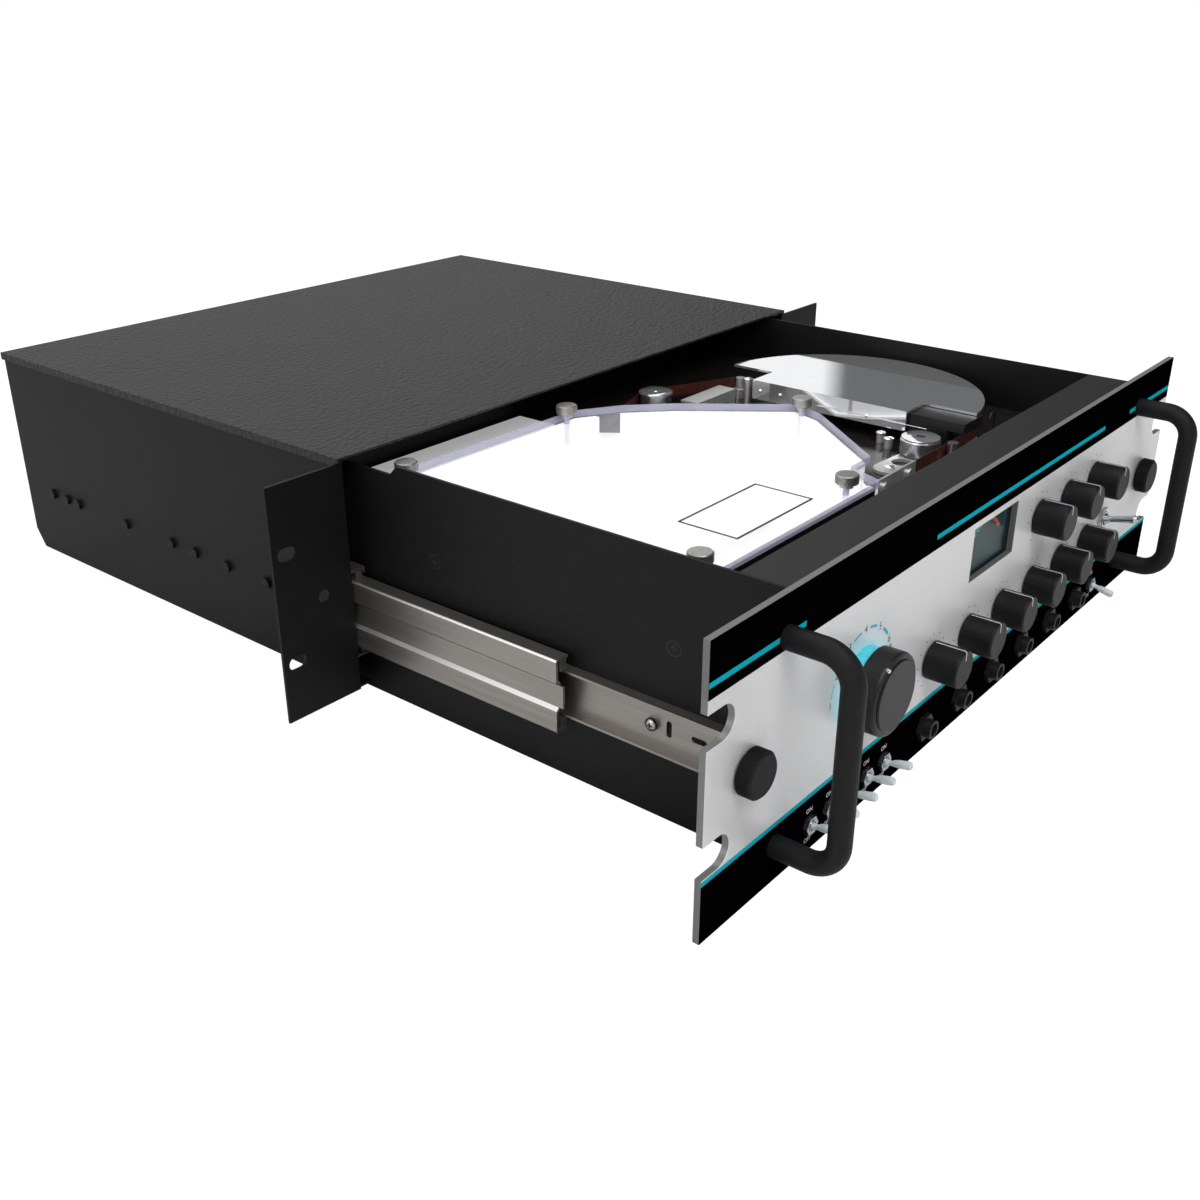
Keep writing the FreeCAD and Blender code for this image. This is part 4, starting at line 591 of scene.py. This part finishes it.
def panel_finish():
    """Silver, bands and lines by height, on the front face alone."""
    far = 1.0
    material, tree = new_material("printed_panel")
    across, depth, rise = axes(tree, "Object")
    mask, normal = grain(tree, 900, 0.05)
    silver = ramp(tree, mask, (0.66, 0.66, 0.665), (0.70, 0.70, 0.705))
    bands = either(tree, between(tree, rise, upper_band, far), between(tree, rise, -far, lower_band))
    runs = between(tree, across, *upper_line_runs[0])
    for run in upper_line_runs[1:]:
        runs = either(tree, runs, between(tree, across, *run))
    broken_line = maths(tree, "MULTIPLY", between(tree, rise, *upper_line), runs)
    lines = either(tree, between(tree, rise, *lower_line), broken_line)
    face = between(tree, depth, -far, panel_face + print_depth)
    shade = mix(tree, bands, silver, colour(0.0008, 0.0008, 0.0009))
    shade = mix(tree, lines, shade, colour(*teal))
    shade = mix(tree, face, colour(0.17, 0.17, 0.17), shade)
    printed = either(tree, bands, lines)
    bare = maths(tree, "SUBTRACT", 1.0, printed)
    # Painted light: a cyan emission on the bare silver, fading out from the mode knob's centre.
    side = maths(tree, "SUBTRACT", across, mode_place[0])
    up = maths(tree, "SUBTRACT", rise, mode_place[1])
    flat = add(tree, "ShaderNodeCombineXYZ", inputs={0: side, 2: up})
    reach = add(tree, "ShaderNodeVectorMath", operation="LENGTH", inputs={0: flat.outputs[0]})
    glow = scaled(
        tree, reach.outputs["Value"], 1.0, 0.0, painted_glow_start, painted_glow_end, interpolation_type="SMOOTHERSTEP"
    )
    painted_glow_on_silver = maths(tree, "MULTIPLY", glow, bare)
    surface(
        tree,
        Base_Color=shade,
        Roughness=0.36,
        Metallic=maths(tree, "MULTIPLY", bare, 0.25),
        Specular_IOR_Level=scaled(tree, printed, 0.4, 0.03),
        IOR=scaled(tree, printed, 1.5, 1.0),
        Normal=normal,
        Emission_Color=mix(tree, painted_glow_on_silver, colour(0, 0, 0), colour(0.02, 0.42, 0.5)),
        Emission_Strength=0.28,
    )
    return material


dress(panel_finish(), "front_panel")

# Printing on the panel, in screen ink: the mode dial's numbers and its arcs, which thicken
# clockwise, a ring of small marks round each knob, and ON and OFF at the small switches.
count_words = ("one", "two", "three", "four", "five", "six", "seven", "eight", "nine")
knob_names = ["knob_" + word for word in count_words]
lever_names = ["toggle_" + word for word in count_words[:6]]
black_print = finish_material(
    "black_print", (0.01, 0.01, 0.01), (0.02, 0.02, 0.02), rough=0.5, size=600, depth=0.05
)
white_print = finish_material(
    "white_print", (0.7, 0.7, 0.7), (0.8, 0.8, 0.8), rough=0.5, size=600, depth=0.05
)
teal_print = finish_material(
    "teal_print", teal, tuple(1.08 * c for c in teal), rough=0.4, size=600, depth=0.05
)
print_rise = 0.00006
dial_radius = 0.0259
dial_count = 11
dial_start = 180
dial_step = 30
number_size = 0.0052
arc_gap = 8
arc_width = 0.0005
arc_growth = 0.00026
mark_ring = 0.0132
mark_radius = 0.00045
mark_count = 11
mark_start = 240
word_size = 0.0032
on_rise = -0.0455
off_rise = -0.0603


def panel_text(words, place, size):
    """Flat words on the panel face, read from in front."""
    curve = bpy.data.curves.new("words", "FONT")
    curve.body = words
    curve.size = size
    curve.align_x = "CENTER"
    curve.align_y = "CENTER"
    curve.resolution_u = 4
    flat, faces = emptied(finished_mesh(placed("words", curve)))
    points = [(place[0] + x, panel_face - print_rise, place[1] + y) for x, y, z in flat]
    return points, faces


def ring_point(place, radius, angle):
    """A printed point at an angle, in degrees, round a place on the panel."""
    turn = math.radians(angle)
    side = place[0] + radius * math.cos(turn)
    return side, panel_face - print_rise, place[1] + radius * math.sin(turn)


def dial_arc(place, radius, wide, start, end, steps=10):
    """A flat arc of one width between two angles, drawn clockwise."""
    points = []
    for step in range(steps + 1):
        angle = start + (end - start) * step / steps
        points.append(ring_point(place, radius - wide / 2, angle))
        points.append(ring_point(place, radius + wide / 2, angle))
    faces = [(2 * k, 2 * k + 1, 2 * k + 3, 2 * k + 2) for k in range(steps)]
    return points, faces


def dot(place, radius, sides=12):
    """A small round mark on the panel."""
    points = [ring_point(place, radius, 360 * k / sides) for k in range(sides)]
    return points, [tuple(range(sides))]


def printing(name, parts, material):
    """Printed parts as one piece on the panel."""
    points, faces = merged(parts)
    mesh_piece(name, points, faces, material, "drawer")


def middle(name):
    """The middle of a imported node's box."""
    return centre(*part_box(name))


numbers = []
arcs = []
for count in range(dial_count):
    angle = dial_start - dial_step * count
    spot = ring_point(mode_place, dial_radius, angle)
    numbers.append(panel_text(str(count + 1), spot[::2], number_size))
    if count + 1 < dial_count:
        wide = arc_width + arc_growth * count
        after = angle - dial_step
        arcs.append(dial_arc(mode_place, dial_radius, wide, angle - arc_gap, after + arc_gap))
printing("dial_numbers", numbers, black_print)
printing("dial_arcs", arcs, teal_print)
marks = []
for name in knob_names:
    for count in range(mark_count):
        spot = ring_point(middle(name)[::2], mark_ring, mark_start - dial_step * count)
        marks.append(dot(spot[::2], mark_radius))
printing("knob_marks", marks, black_print)
switch_words = []
for name in lever_names:
    across = middle(name)[0]
    switch_words.append(panel_text("ON", (across, on_rise), word_size))
    switch_words.append(panel_text("OFF", (across, off_rise), word_size))
printing("switch_words", switch_words, white_print)

# Handles and captive screws: bent steel bar and turned heads in a black textured coat.
# The heads are knurled all round, so that they can be turned by hand.
handle_coat = finish_material(
    "handle_coat",
    low=(0.0045, 0.0045, 0.0047),
    high=(0.012, 0.012, 0.0125),
    rough=0.55,
    size=1700,
    depth=0.6,
    Specular_IOR_Level=0.18,
)
dress(handle_coat, "handles", "thumbscrew_left", "thumbscrew_right")
screw_ridges = 52
screw_ridge_ring = 0.0098
screw_ridge = (0.0007, 0.00055, 0.0056)
screw_ridge_depth = 0.004


def ridge_group():
    """Ridges standing in a ring about Z, each a small block."""
    group = bpy.data.node_groups.new("ridge_ring", "GeometryNodeTree")
    sockets(group, "INPUT", Count="Int", Radius="Float", Block="Vector", Material="Material")
    sockets(group, "OUTPUT", Geometry="Geometry")
    start = group.nodes.new("NodeGroupInput")
    circle = add(
        group,
        "GeometryNodeMeshCircle",
        inputs={"Vertices": start.outputs["Count"], "Radius": start.outputs["Radius"]},
    )
    block = add(group, "GeometryNodeMeshCube", inputs={"Size": start.outputs["Block"]})
    order = group.nodes.new("GeometryNodeInputIndex")
    share = maths(group, "DIVIDE", order.outputs[0], start.outputs["Count"])
    turn = add(
        group, "ShaderNodeCombineXYZ", inputs={2: maths(group, "MULTIPLY", share, 2 * math.pi)}
    )
    copies = add(
        group,
        "GeometryNodeInstanceOnPoints",
        inputs={
            "Points": circle.outputs["Mesh"],
            "Instance": block.outputs["Mesh"],
            "Rotation": turn.outputs[0],
        },
    )
    end_tree(group, copies, start)
    return group


ridge_ring = ridge_group()


def ridges(count, radius, block, material):
    """The knurled rim of a turned head."""
    values = {"Count": count, "Radius": radius, "Block": block, "Material": material}
    return grown(ridge_ring, values)


for name in ("thumbscrew_left", "thumbscrew_right"):
    x, y, z = middle(name)
    place = Matrix.Translation((x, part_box(name)[0][1] + screw_ridge_depth, z))
    rim = ridges(screw_ridges, screw_ridge_ring, screw_ridge, handle_coat)
    turned_over = place @ Matrix.Rotation(math.pi / 2, 4, "X")
    grown_piece(name + "_knurl", [(rim, turned_over)], handle_coat, name)

# Knobs: black moulded barrels, pushed onto the controls' shafts. A pale line is set in the
# top of each barrel, and runs over the bevel and down the face towards the middle.
knob_black = finish_material(
    "knob_black",
    low=(0.0045, 0.0045, 0.0047),
    high=(0.0085, 0.0085, 0.0088),
    rough=0.45,
    size=1400,
    depth=0.14,
    Specular_IOR_Level=0.2,
)
pale_mark = finish_material(
    "pale_mark", (0.55, 0.56, 0.57), (0.65, 0.66, 0.67), rough=0.4, size=500, depth=0.05
)
dress(knob_black, *knob_names)
line_width = 0.0008
line_proud = 0.00008
line_end = 0.0045
line_inset = 0.001
knob_bevel = 0.001


def strip(line, wide):
    """A flat ribbon along a line of points, its width across X."""
    points = []
    for x, y, z in line:
        points.append((x - wide / 2, y, z))
        points.append((x + wide / 2, y, z))
    faces = [(2 * k, 2 * k + 1, 2 * k + 3, 2 * k + 2) for k in range(len(line) - 1)]
    return points, faces


for name in knob_names:
    low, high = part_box(name)
    x, y, z = middle(name)
    top = high[2] + line_proud
    front = low[1] - line_proud
    corner = 0.3 * knob_bevel - line_proud
    line = [
        (x, high[1] - line_inset, top),
        (x, low[1] + knob_bevel, top),
        (x, low[1] + corner, high[2] - corner),
        (x, front, high[2] - knob_bevel),
        (x, front, z + line_end),
    ]
    points, faces = strip(line, line_width)
    mesh_piece(name + "_line", points, faces, pale_mark, name)

# Mode knob: a wide satin black knob of moulded plastic, with a raised face and a turned
# metal pin near its rim, which points at the dial's number.
satin_black = finish_material(
    "satin_black",
    low=(0.007, 0.007, 0.0074),
    high=(0.013, 0.013, 0.0136),
    rough=0.42,
    size=1400,
    depth=0.14,
    Specular_IOR_Level=0.3,
)
pin_metal = finish_material(
    "pin_metal", (0.6, 0.6, 0.6), (0.75, 0.75, 0.75), rough=0.25, metal=0.9, size=500, depth=0.05
)
dress(satin_black, "mode_knob")
mode_x, mode_z = middle("mode_knob")[::2]
mode_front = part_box("mode_knob")[0][1]
face_radius = 0.0163
face_rise = 0.0007
face_bevel = 0.0005
face_sink = 0.001
face_profile = [
    (0, 0.0),
    (0, face_rise),
    (face_radius - face_bevel, face_rise),
    (face_radius, face_rise - face_bevel),
    (face_radius, -face_sink),
    (0, -face_sink),
]
pin_ring = 0.0177
pin_angle = math.radians(120)
pin_sink = 0.0012
pin_profile = [(0, -0.0012), (0.0011, -0.0012), (0.0011, 0.0012), (0.0008, 0.0016), (0, 0.0016)]
pin_place = (
    mode_x + pin_ring * math.cos(pin_angle),
    mode_front + pin_sink,
    mode_z + pin_ring * math.sin(pin_angle),
)
lathe(
    "mode_knob_face",
    face_profile,
    (mode_x, mode_front, mode_z),
    satin_black,
    "mode_knob",
    along="Y",
)
lathe(
    "mode_knob_pin", pin_profile, pin_place, pin_metal, "mode_knob", along="Y", sides=24
)

# Lit collar: a ring of cyan plastic round the mode knob's shaft, moulded clear enough for
# the lamp behind it to light it evenly.
collar_glow, tree = new_material("collar_glow")
mask = grain(tree, 500, 0.05)[0]
shade = ramp(tree, mask, (0.05, 0.47, 0.60), (0.07, 0.53, 0.66))
surface(tree, Base_Color=shade, Roughness=0.25, Emission_Color=shade, Emission_Strength=0.22)
dress(collar_glow, "lit_collar")

# Switches, jacks and controls: nickel plated toggles, whose small levers wear sleeves of
# pale plastic, black jacks, and black control bodies behind the panel.
nickel = finish_material(
    "nickel", (0.46, 0.47, 0.49), (0.62, 0.63, 0.65), rough=0.22, metal=0.95, size=500, depth=0.06
)
pale_plastic = finish_material(
    "pale_plastic", (0.62, 0.69, 0.69), (0.70, 0.76, 0.76), rough=0.4, size=600, depth=0.04
)
dress(nickel, "toggle_bases", "power_toggle")
dress(pale_plastic, *lever_names)
dress(satin_black, "jacks", "rotary_controls")
root_slice = 0.0012
sleeve_start = 0.35


def lever_sleeve(name):
    """A pale sleeve along the outer part of a lever, round the lever's own axis."""
    points = [vert.co.copy() for vert in nodes[name].data.vertices]
    back = max(p.y for p in points) - root_slice
    rear = [p for p in points if p.y > back]
    root = sum(rear, Vector()) / len(rear)
    tip = min(points, key=lambda p: p.y)
    run = tip - root
    length = run.length
    profile = [
        (0.0010, sleeve_start * length),
        (0.0016, 0.36 * length),
        (0.00195, 0.55 * length),
        (0.00205, length - 0.0012),
        (0.0016, length - 0.0001),
        (0, length + 0.0003),
        (0, sleeve_start * length),
    ]
    piece = lathe(name + "_sleeve", profile, (0, 0, 0), pale_plastic, name, sides=28)
    swing = Vector((0, 0, 1)).rotation_difference(run.normalized()).to_matrix().to_4x4()
    piece.data.transform(Matrix.Translation(root) @ swing)


for name in lever_names:
    lever_sleeve(name)

# Meter: a black case behind a window in the panel, with a clear pane over a dim teal
# display. An arc of small lamps shows the level, teal and then orange.
meter_pane, tree = new_material("meter_pane")
surface(
    tree,
    Base_Color=colour(0.02, 0.03, 0.034),
    Roughness=0.12,
    Specular_IOR_Level=0.4,
    Alpha=0.35,
)
display_back, tree = new_material("display_back")
mask = grain(tree, 160, 0.02)[0]
shade = ramp(tree, mask, (0.004, 0.028, 0.034), (0.012, 0.085, 0.095))
surface(tree, Base_Color=shade, Roughness=0.4, Emission_Color=shade, Emission_Strength=0.5)
dress(satin_black, "meter_case")
dress(meter_pane, "meter_glass")
meter_x, meter_z = middle("meter_glass")[::2]
display_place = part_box("meter_glass")[1][1] + 0.0004
square = ((-1, -1), (1, -1), (1, 1), (-1, 1))
display_half = (0.0248, 0.0139)
lamp_count = 11
teal_lamps = 8
lamp_arc = 0.0195
lamp_drop = 0.0095
lamp_start = 140
lamp_sweep = 100
lamp_proud = 0.0002
lamp_half = (0.0012, 0.0008)


def upright(place, half, depth):
    """A flat rectangle that faces the front."""
    points = [(place[0] + a * half[0], depth, place[1] + b * half[1]) for a, b in square]
    return points, [(0, 1, 2, 3)]


def lit_material(name, shade, strength):
    """A small lamp's lens, lit from behind."""
    material, tree = new_material(name)
    lens = colour(*shade)
    surface(tree, Base_Color=lens, Roughness=0.4, Emission_Color=lens, Emission_Strength=strength)
    return material


def lamp_row(name, steps, material):
    """The lamps of one colour, along their stretch of the arc."""
    lamps = []
    for step in steps:
        turn = math.radians(lamp_start - lamp_sweep * step / (lamp_count - 1))
        side = meter_x + lamp_arc * math.cos(turn)
        up = meter_z - lamp_drop + lamp_arc * math.sin(turn)
        lamps.append(upright((side, up), lamp_half, display_place - lamp_proud))
    points, faces = merged(lamps)
    mesh_piece(name, points, faces, material, "drawer")


points, faces = upright((meter_x, meter_z), display_half, display_place)
mesh_piece("meter_display", points, faces, display_back, "drawer")
lamp_row("meter_low_lamps", range(teal_lamps), lit_material("teal_lamp", (0.02, 0.55, 0.45), 0.8))
lamp_row(
    "meter_high_lamps",
    range(teal_lamps, lamp_count),
    lit_material("orange_lamp", (0.9, 0.12, 0.05), 1.0),
)

# Deck and tape bin: a dark polished plate across the drawer, and on it the white floor and
# wall of the bin, with a black strip along the front. The white carries a little painted
# glow, as emission, which lifts it beyond what the lamps give.
deck_finish = finish_material(
    "deck_finish", (0.022, 0.019, 0.017), (0.034, 0.03, 0.027), rough=0.16, metal=0.5, size=120, depth=0.03
)
# White with a painted glow: emission, though the floor is no lamp.
white_gloss_painted_glow = finish_material(
    "white_gloss_painted_glow",
    low=(0.86, 0.86, 0.87),
    high=(0.9, 0.9, 0.9),
    rough=0.2,
    size=120,
    depth=0.02,
    Emission_Color=colour(1, 1, 1),
    Emission_Strength=0.3,
)
black_strip = 0.0004
# The wall's white part carries the same painted glow; its front strip is black.
wall_paint_painted_glow, tree = new_material("bin_wall_paint")
depth = axes(tree, "Object")[1]
in_front = between(tree, depth, -1.0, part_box("tape_bin_wall")[0][1] + black_strip)
surface(
    tree,
    Base_Color=mix(tree, in_front, colour(0.88, 0.88, 0.89), colour(0.003, 0.003, 0.003)),
    Roughness=0.4,
    Specular_IOR_Level=0.2,
    Emission_Color=mix(tree, in_front, colour(1, 1, 1), colour(0, 0, 0)),
    Emission_Strength=0.3,
)
dress(deck_finish, "deck_plate")
dress(white_gloss_painted_glow, "tape_bin_floor")
dress(wall_paint_painted_glow, "tape_bin_wall")

# Bin cover: a clear acrylic sheet, nearly unseen from above and lavender at its sawn
# edges, where the sheet is looked through lengthwise.
clear_cover, tree = new_material("clear_cover")
upright_share = maths(tree, "ABSOLUTE", axes(tree, "Normal")[2])
surface(
    tree,
    Base_Color=mix(tree, upright_share, colour(0.42, 0.42, 0.62), colour(0.93, 0.93, 0.99)),
    Roughness=0.04,
    Specular_IOR_Level=0.8,
    Alpha=scaled(tree, upright_share, 0.62, 0.16, start=0.2, end=0.8),
)
dress(clear_cover, "bin_cover")
cover_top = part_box("bin_cover")[1][2]

# Bin nuts: five knurled nuts of dull steel that hold the cover down. Their studs, below
# the cover's top, are painted pale: a painted sheen for the clear sheet's white shine over them.
nut_steel, tree = new_material("nut_steel")
mask, normal = grain(tree, 700, 0.2)
shade = ramp(tree, mask, (0.30, 0.29, 0.275), (0.46, 0.45, 0.43))
rise = axes(tree, "Object")[2]
painted_sheen_on_stud = between(tree, rise, -1.0, cover_top + 0.0002)
surface(
    tree,
    Base_Color=mix(tree, painted_sheen_on_stud, shade, colour(0.80, 0.80, 0.86)),
    Roughness=0.36,
    Metallic=scaled(tree, painted_sheen_on_stud, 0.9, 0.0),
    Normal=normal,
)
dress(nut_steel, "bin_nuts")
nut_ridge_count = 44
nut_ridge_ring = 0.0056
nut_ridge = (0.0005, 0.0004, 0.0038)
nut_ridge_drop = 0.0025
nut_rims = []
for low, high in islands("bin_nuts"):
    x, y, z = centre(low, high)
    rim = ridges(nut_ridge_count, nut_ridge_ring, nut_ridge, nut_steel)
    nut_rims.append((rim, Matrix.Translation((x, y, high[2] - nut_ridge_drop))))
grown_piece("nut_knurls", nut_rims, nut_steel, "drawer")

# Label: a blank white plate with a thin black border, stuck on the clear cover near its
# front edge. It has a painted glow too, weaker than the bin floor's round it.
label_white_painted_glow = finish_material(
    "label_white_painted_glow",
    low=(0.80, 0.80, 0.80),
    high=(0.84, 0.84, 0.84),
    rough=0.5,
    size=300,
    depth=0.02,
    Emission_Color=colour(1, 1, 1),
    Emission_Strength=0.14,
)
label_left, label_right = -0.1309, -0.0670
label_front, label_back = -0.18376, -0.15086
label_border = 0.0014
label_rise = cover_top + 0.00015
border_rise = label_rise + 0.00005


def label_corners(inset, rise):
    """The corners of the label, or of a rectangle inside it."""
    left, right = label_left + inset, label_right - inset
    front, back = label_front + inset, label_back - inset
    return [(left, front, rise), (right, front, rise), (right, back, rise), (left, back, rise)]


mesh_piece("label_plate", label_corners(0, label_rise), [(0, 1, 2, 3)], label_white_painted_glow, "drawer")
border_points = label_corners(0, border_rise) + label_corners(label_border, border_rise)
border_faces = [(k, (k + 1) % 4, 4 + (k + 1) % 4, 4 + k) for k in range(4)]
mesh_piece("label_border", border_points, border_faces, black_print, "drawer")

# Head shield: a polished steel plate over the heads, folded down along its straight edge.
# A thin rod runs along the fold, and three rivets stand in it.
polished = finish_material(
    "polished", (0.88, 0.89, 0.9), (0.91, 0.92, 0.93), rough=0.05, metal=0.87, size=200, depth=0.004
)
guide_satin = finish_material(
    "guide_satin", (0.55, 0.55, 0.54), (0.68, 0.68, 0.67), rough=0.34, metal=0.75, size=400, depth=0.05
)
dress(polished, "head_shield")
shield_low, shield_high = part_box("head_shield")
fold_face = shield_low[0]
rod_gap = 0.0007
rod_side = fold_face - rod_gap
rod_front, rod_back = -0.168, -0.098
rod_radius = 0.0002
rod_drop = 0.0072
rod_rise = shield_high[2] - rod_drop
rivet_places = ((-0.130, 0.0), (-0.072, 0.0012), (-0.058, 0.0012))
rivet_radius = 0.0011
rivet_height = 0.0008


def wire(name, line, radius, material):
    """A round bar on the drawer, along a line of points."""
    curve = bpy.data.curves.new(name, "CURVE")
    curve.dimensions = "3D"
    spline = curve.splines.new("POLY")
    spline.points.add(len(line) - 1)
    for point, place in zip(spline.points, line):
        point.co = (*place, 1.0)
    curve.bevel_depth = radius
    curve.bevel_resolution = 3
    curve.use_fill_caps = True
    points, faces = emptied(finished_mesh(placed(name, curve)))
    clean_shell(mesh_piece(name, points, faces, material, "drawer"))


rod_line = [(rod_side, rod_front, rod_rise), (rod_side, rod_back, rod_rise)]
wire("tie_rod", rod_line, rod_radius, guide_satin)
for count, (depth, lift) in enumerate(rivet_places):
    spot = (fold_face, depth, rod_rise + lift)
    side_dome(f"shield_rivet_{count}", spot, -1, rivet_radius, rivet_height, polished)

# Tape guides: satin steel posts, pins and a plate that lead the tape round the deck, with
# the pinch arm. The round pins end in polished domes.
dress(guide_satin, "tape_guides", "pinch_arm")
round_error = 0.0003
widest_pin = 0.0065
dome_overhang = 0.0005
dome_rise = 0.0011
dome_sink = 0.0005


def domed(name, place, radius):
    """A low polished dome on top of a pin."""
    profile = [
        (0, -dome_sink),
        (radius, -dome_sink),
        (radius, 0.3 * dome_rise),
        (0.7 * radius, 0.8 * dome_rise),
        (0, dome_rise),
    ]
    lathe(name, profile, place, polished, "drawer", sides=32)


for count, (low, high) in enumerate(islands("tape_guides")):
    wide = high[0] - low[0]
    deep = high[1] - low[1]
    if abs(wide - deep) < round_error and wide < widest_pin:
        x, y, z = centre(low, high)
        domed(f"guide_dome_{count}", (x, y, high[2]), wide / 2 + dome_overhang)

# Rollers and tape: nickel plated rollers and capstan, turned from bar, each roller under
# a polished washer round a dark eye of painted shade in its bore. The tape is thin brown film.
tape_brown = finish_material(
    "tape_brown", (0.05, 0.014, 0.011), (0.075, 0.022, 0.017), rough=0.25, size=300, depth=0.04
)
dress(nickel, "idler_roller", "pinch_roller", "capstan")
dress(tape_brown, "tape_loop")
washer_bore = 0.0027
washer_thick = 0.0007
washer_bevel = 0.0008
washer_edge = 0.0003
eye_radius = 0.0026
eye_low, eye_high = 0.00005, 0.00025


def washer(name, body, outer):
    """A polished ring on the top of a roller, and a dark eye of painted shade in its bore."""
    x, y, z = middle(body)
    place = (x, y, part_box(body)[1][2])
    ring_profile = [
        (washer_bore, 0),
        (washer_bore, washer_thick),
        (outer - washer_bevel, washer_thick),
        (outer, washer_edge),
        (outer, 0),
        (washer_bore, 0),
    ]
    eye_profile = [
        (0, eye_low),
        (0, eye_high),
        (eye_radius, eye_high),
        (eye_radius, eye_low),
        (0, eye_low),
    ]
    lathe(name + "_washer", ring_profile, place, polished, body, sides=64)
    lathe(name + "_eye", eye_profile, place, recess_painted_shade, body, sides=32)


washer("pinch", "pinch_roller", 0.0105)
washer("idler", "idler_roller", 0.0100)

# Heads and hook: the head stack and its block are satin black, and beside them a small
# hook is bent from black wire.
dress(satin_black, "tape_heads")
hook_side, hook_depth, hook_rise = 0.1142, -0.1905, 0.0478
hook_foot = 0.0400
hook_bend = 0.0036
hook_radius = 0.0005
hook_points = 9
hook_start = 200
hook_turn = 26
hook_line = []
for step in range(hook_points):
    turn = math.radians(hook_start - hook_turn * step)
    across = hook_side + hook_bend * math.cos(turn)
    hook_line.append((across, hook_depth, hook_rise + hook_bend * math.sin(turn)))
hook_line.append((across, hook_depth, hook_foot))
wire("hook_wire", hook_line, hook_radius, satin_black)

# Inside the drawer: a black motor, sockets, transformer and spring tank, and a printed
# circuit board in green lacquer.
board_green = finish_material(
    "board_green", (0.01, 0.08, 0.04), (0.02, 0.12, 0.06), rough=0.35, size=300, depth=0.1
)
dress(satin_black, "drive_motor", "rear_sockets")
dress(side_coat, "power_transformer", "spring_tank")
dress(board_green, "main_board")

# Studio: a pale matt floor, which the camera sees as white but for the object's shadow, and
# white surroundings. Glossy surfaces mirror a dark card over their half to the front right.
floor_half = 6.0
floor_rise = cad_box[0][2] - 0.0005
floor_white = 1.13
floor_share = 0.85
card_edge = math.radians(29.3)
card_blur = (-0.004, 0.012)
world_light = 0.42
floor_corners = [(a * floor_half, b * floor_half, floor_rise) for a, b in square]
floor_mesh = bpy.data.meshes.new("floor")
floor_mesh.from_pydata(floor_corners, [], [(0, 1, 2, 3)])
floor = placed("floor", floor_mesh)


def either_shader(tree, share, first, second):
    """One of two shaders, by the kind of ray."""
    shaders = {1: first.outputs[0], 2: second.outputs[0]}
    return add(tree, "ShaderNodeMixShader", inputs={0: share, **shaders})


floor_paint, tree = new_material("floor_paint")
matt = add(tree, "ShaderNodeBsdfDiffuse", inputs={"Color": colour(0.9, 0.9, 0.9), "Roughness": 1.0})
white = add(tree, "ShaderNodeEmission", inputs={"Color": colour(1, 1, 1), "Strength": floor_white})
ray = add(tree, "ShaderNodeLightPath")
seen_share = maths(tree, "MULTIPLY", ray.outputs["Is Camera Ray"], floor_share)
floor_look = either_shader(tree, seen_share, matt, white)
add(tree, "ShaderNodeOutputMaterial", inputs={"Surface": floor_look.outputs[0]})
floor_mesh.materials.append(floor_paint)

world = bpy.data.worlds.new("studio")
bpy.context.scene.world = world
world.use_nodes = True
tree = world.node_tree
tree.nodes.clear()
direction = add(tree, "ShaderNodeTexCoord")
card_side = add(
    tree,
    "ShaderNodeVectorMath",
    operation="DOT_PRODUCT",
    inputs={0: direction.outputs["Generated"], 1: (math.sin(card_edge), -math.cos(card_edge), 0)},
)
on_card = scaled(tree, card_side.outputs["Value"], 0.0, 1.0, *card_blur)
mirrored_shade = mix(tree, on_card, colour(0.95, 0.95, 0.96), colour(0.06, 0.062, 0.065))


def backdrop(shade, strength):
    """The world's light, in one colour."""
    return add(tree, "ShaderNodeBackground", inputs={"Color": shade, "Strength": strength})


light = backdrop(colour(1, 1, 1), world_light)
seen = backdrop(colour(1, 1, 1), 1.0)
mirrored = backdrop(mirrored_shade, 1.0)
ray = add(tree, "ShaderNodeLightPath")
look = either_shader(tree, ray.outputs["Is Glossy Ray"], light, mirrored)
look = either_shader(tree, ray.outputs["Is Camera Ray"], look, seen)
look = either_shader(tree, ray.outputs["Is Transmission Ray"], look, seen)
add(tree, "ShaderNodeOutputWorld", inputs={"Surface": look.outputs[0]})


def lamp(name, place, target, wide, power):
    """A soft rectangular lamp that looks at a target."""
    data = bpy.data.lights.new(name, "AREA")
    data.shape = "RECTANGLE"
    data.size = wide[0]
    data.size_y = wide[1]
    data.energy = power
    made = placed(name, data)
    made.location = place
    towards = Vector(target) - Vector(place)
    made.rotation_euler = towards.to_track_quat("-Z", "Y").to_euler()


lamp("key_lamp", (-0.5, -1.1, 1.3), (0, -0.1, 0), (0.9, 0.7), 14)
lamp("top_lamp", (0.1, 0.2, 1.6), (0, 0, 0), (1.2, 1.2), 9)
lamp("left_lamp", (-1.7, 0.3, 0.6), (0, 0, 0), (0.8, 0.8), 6)
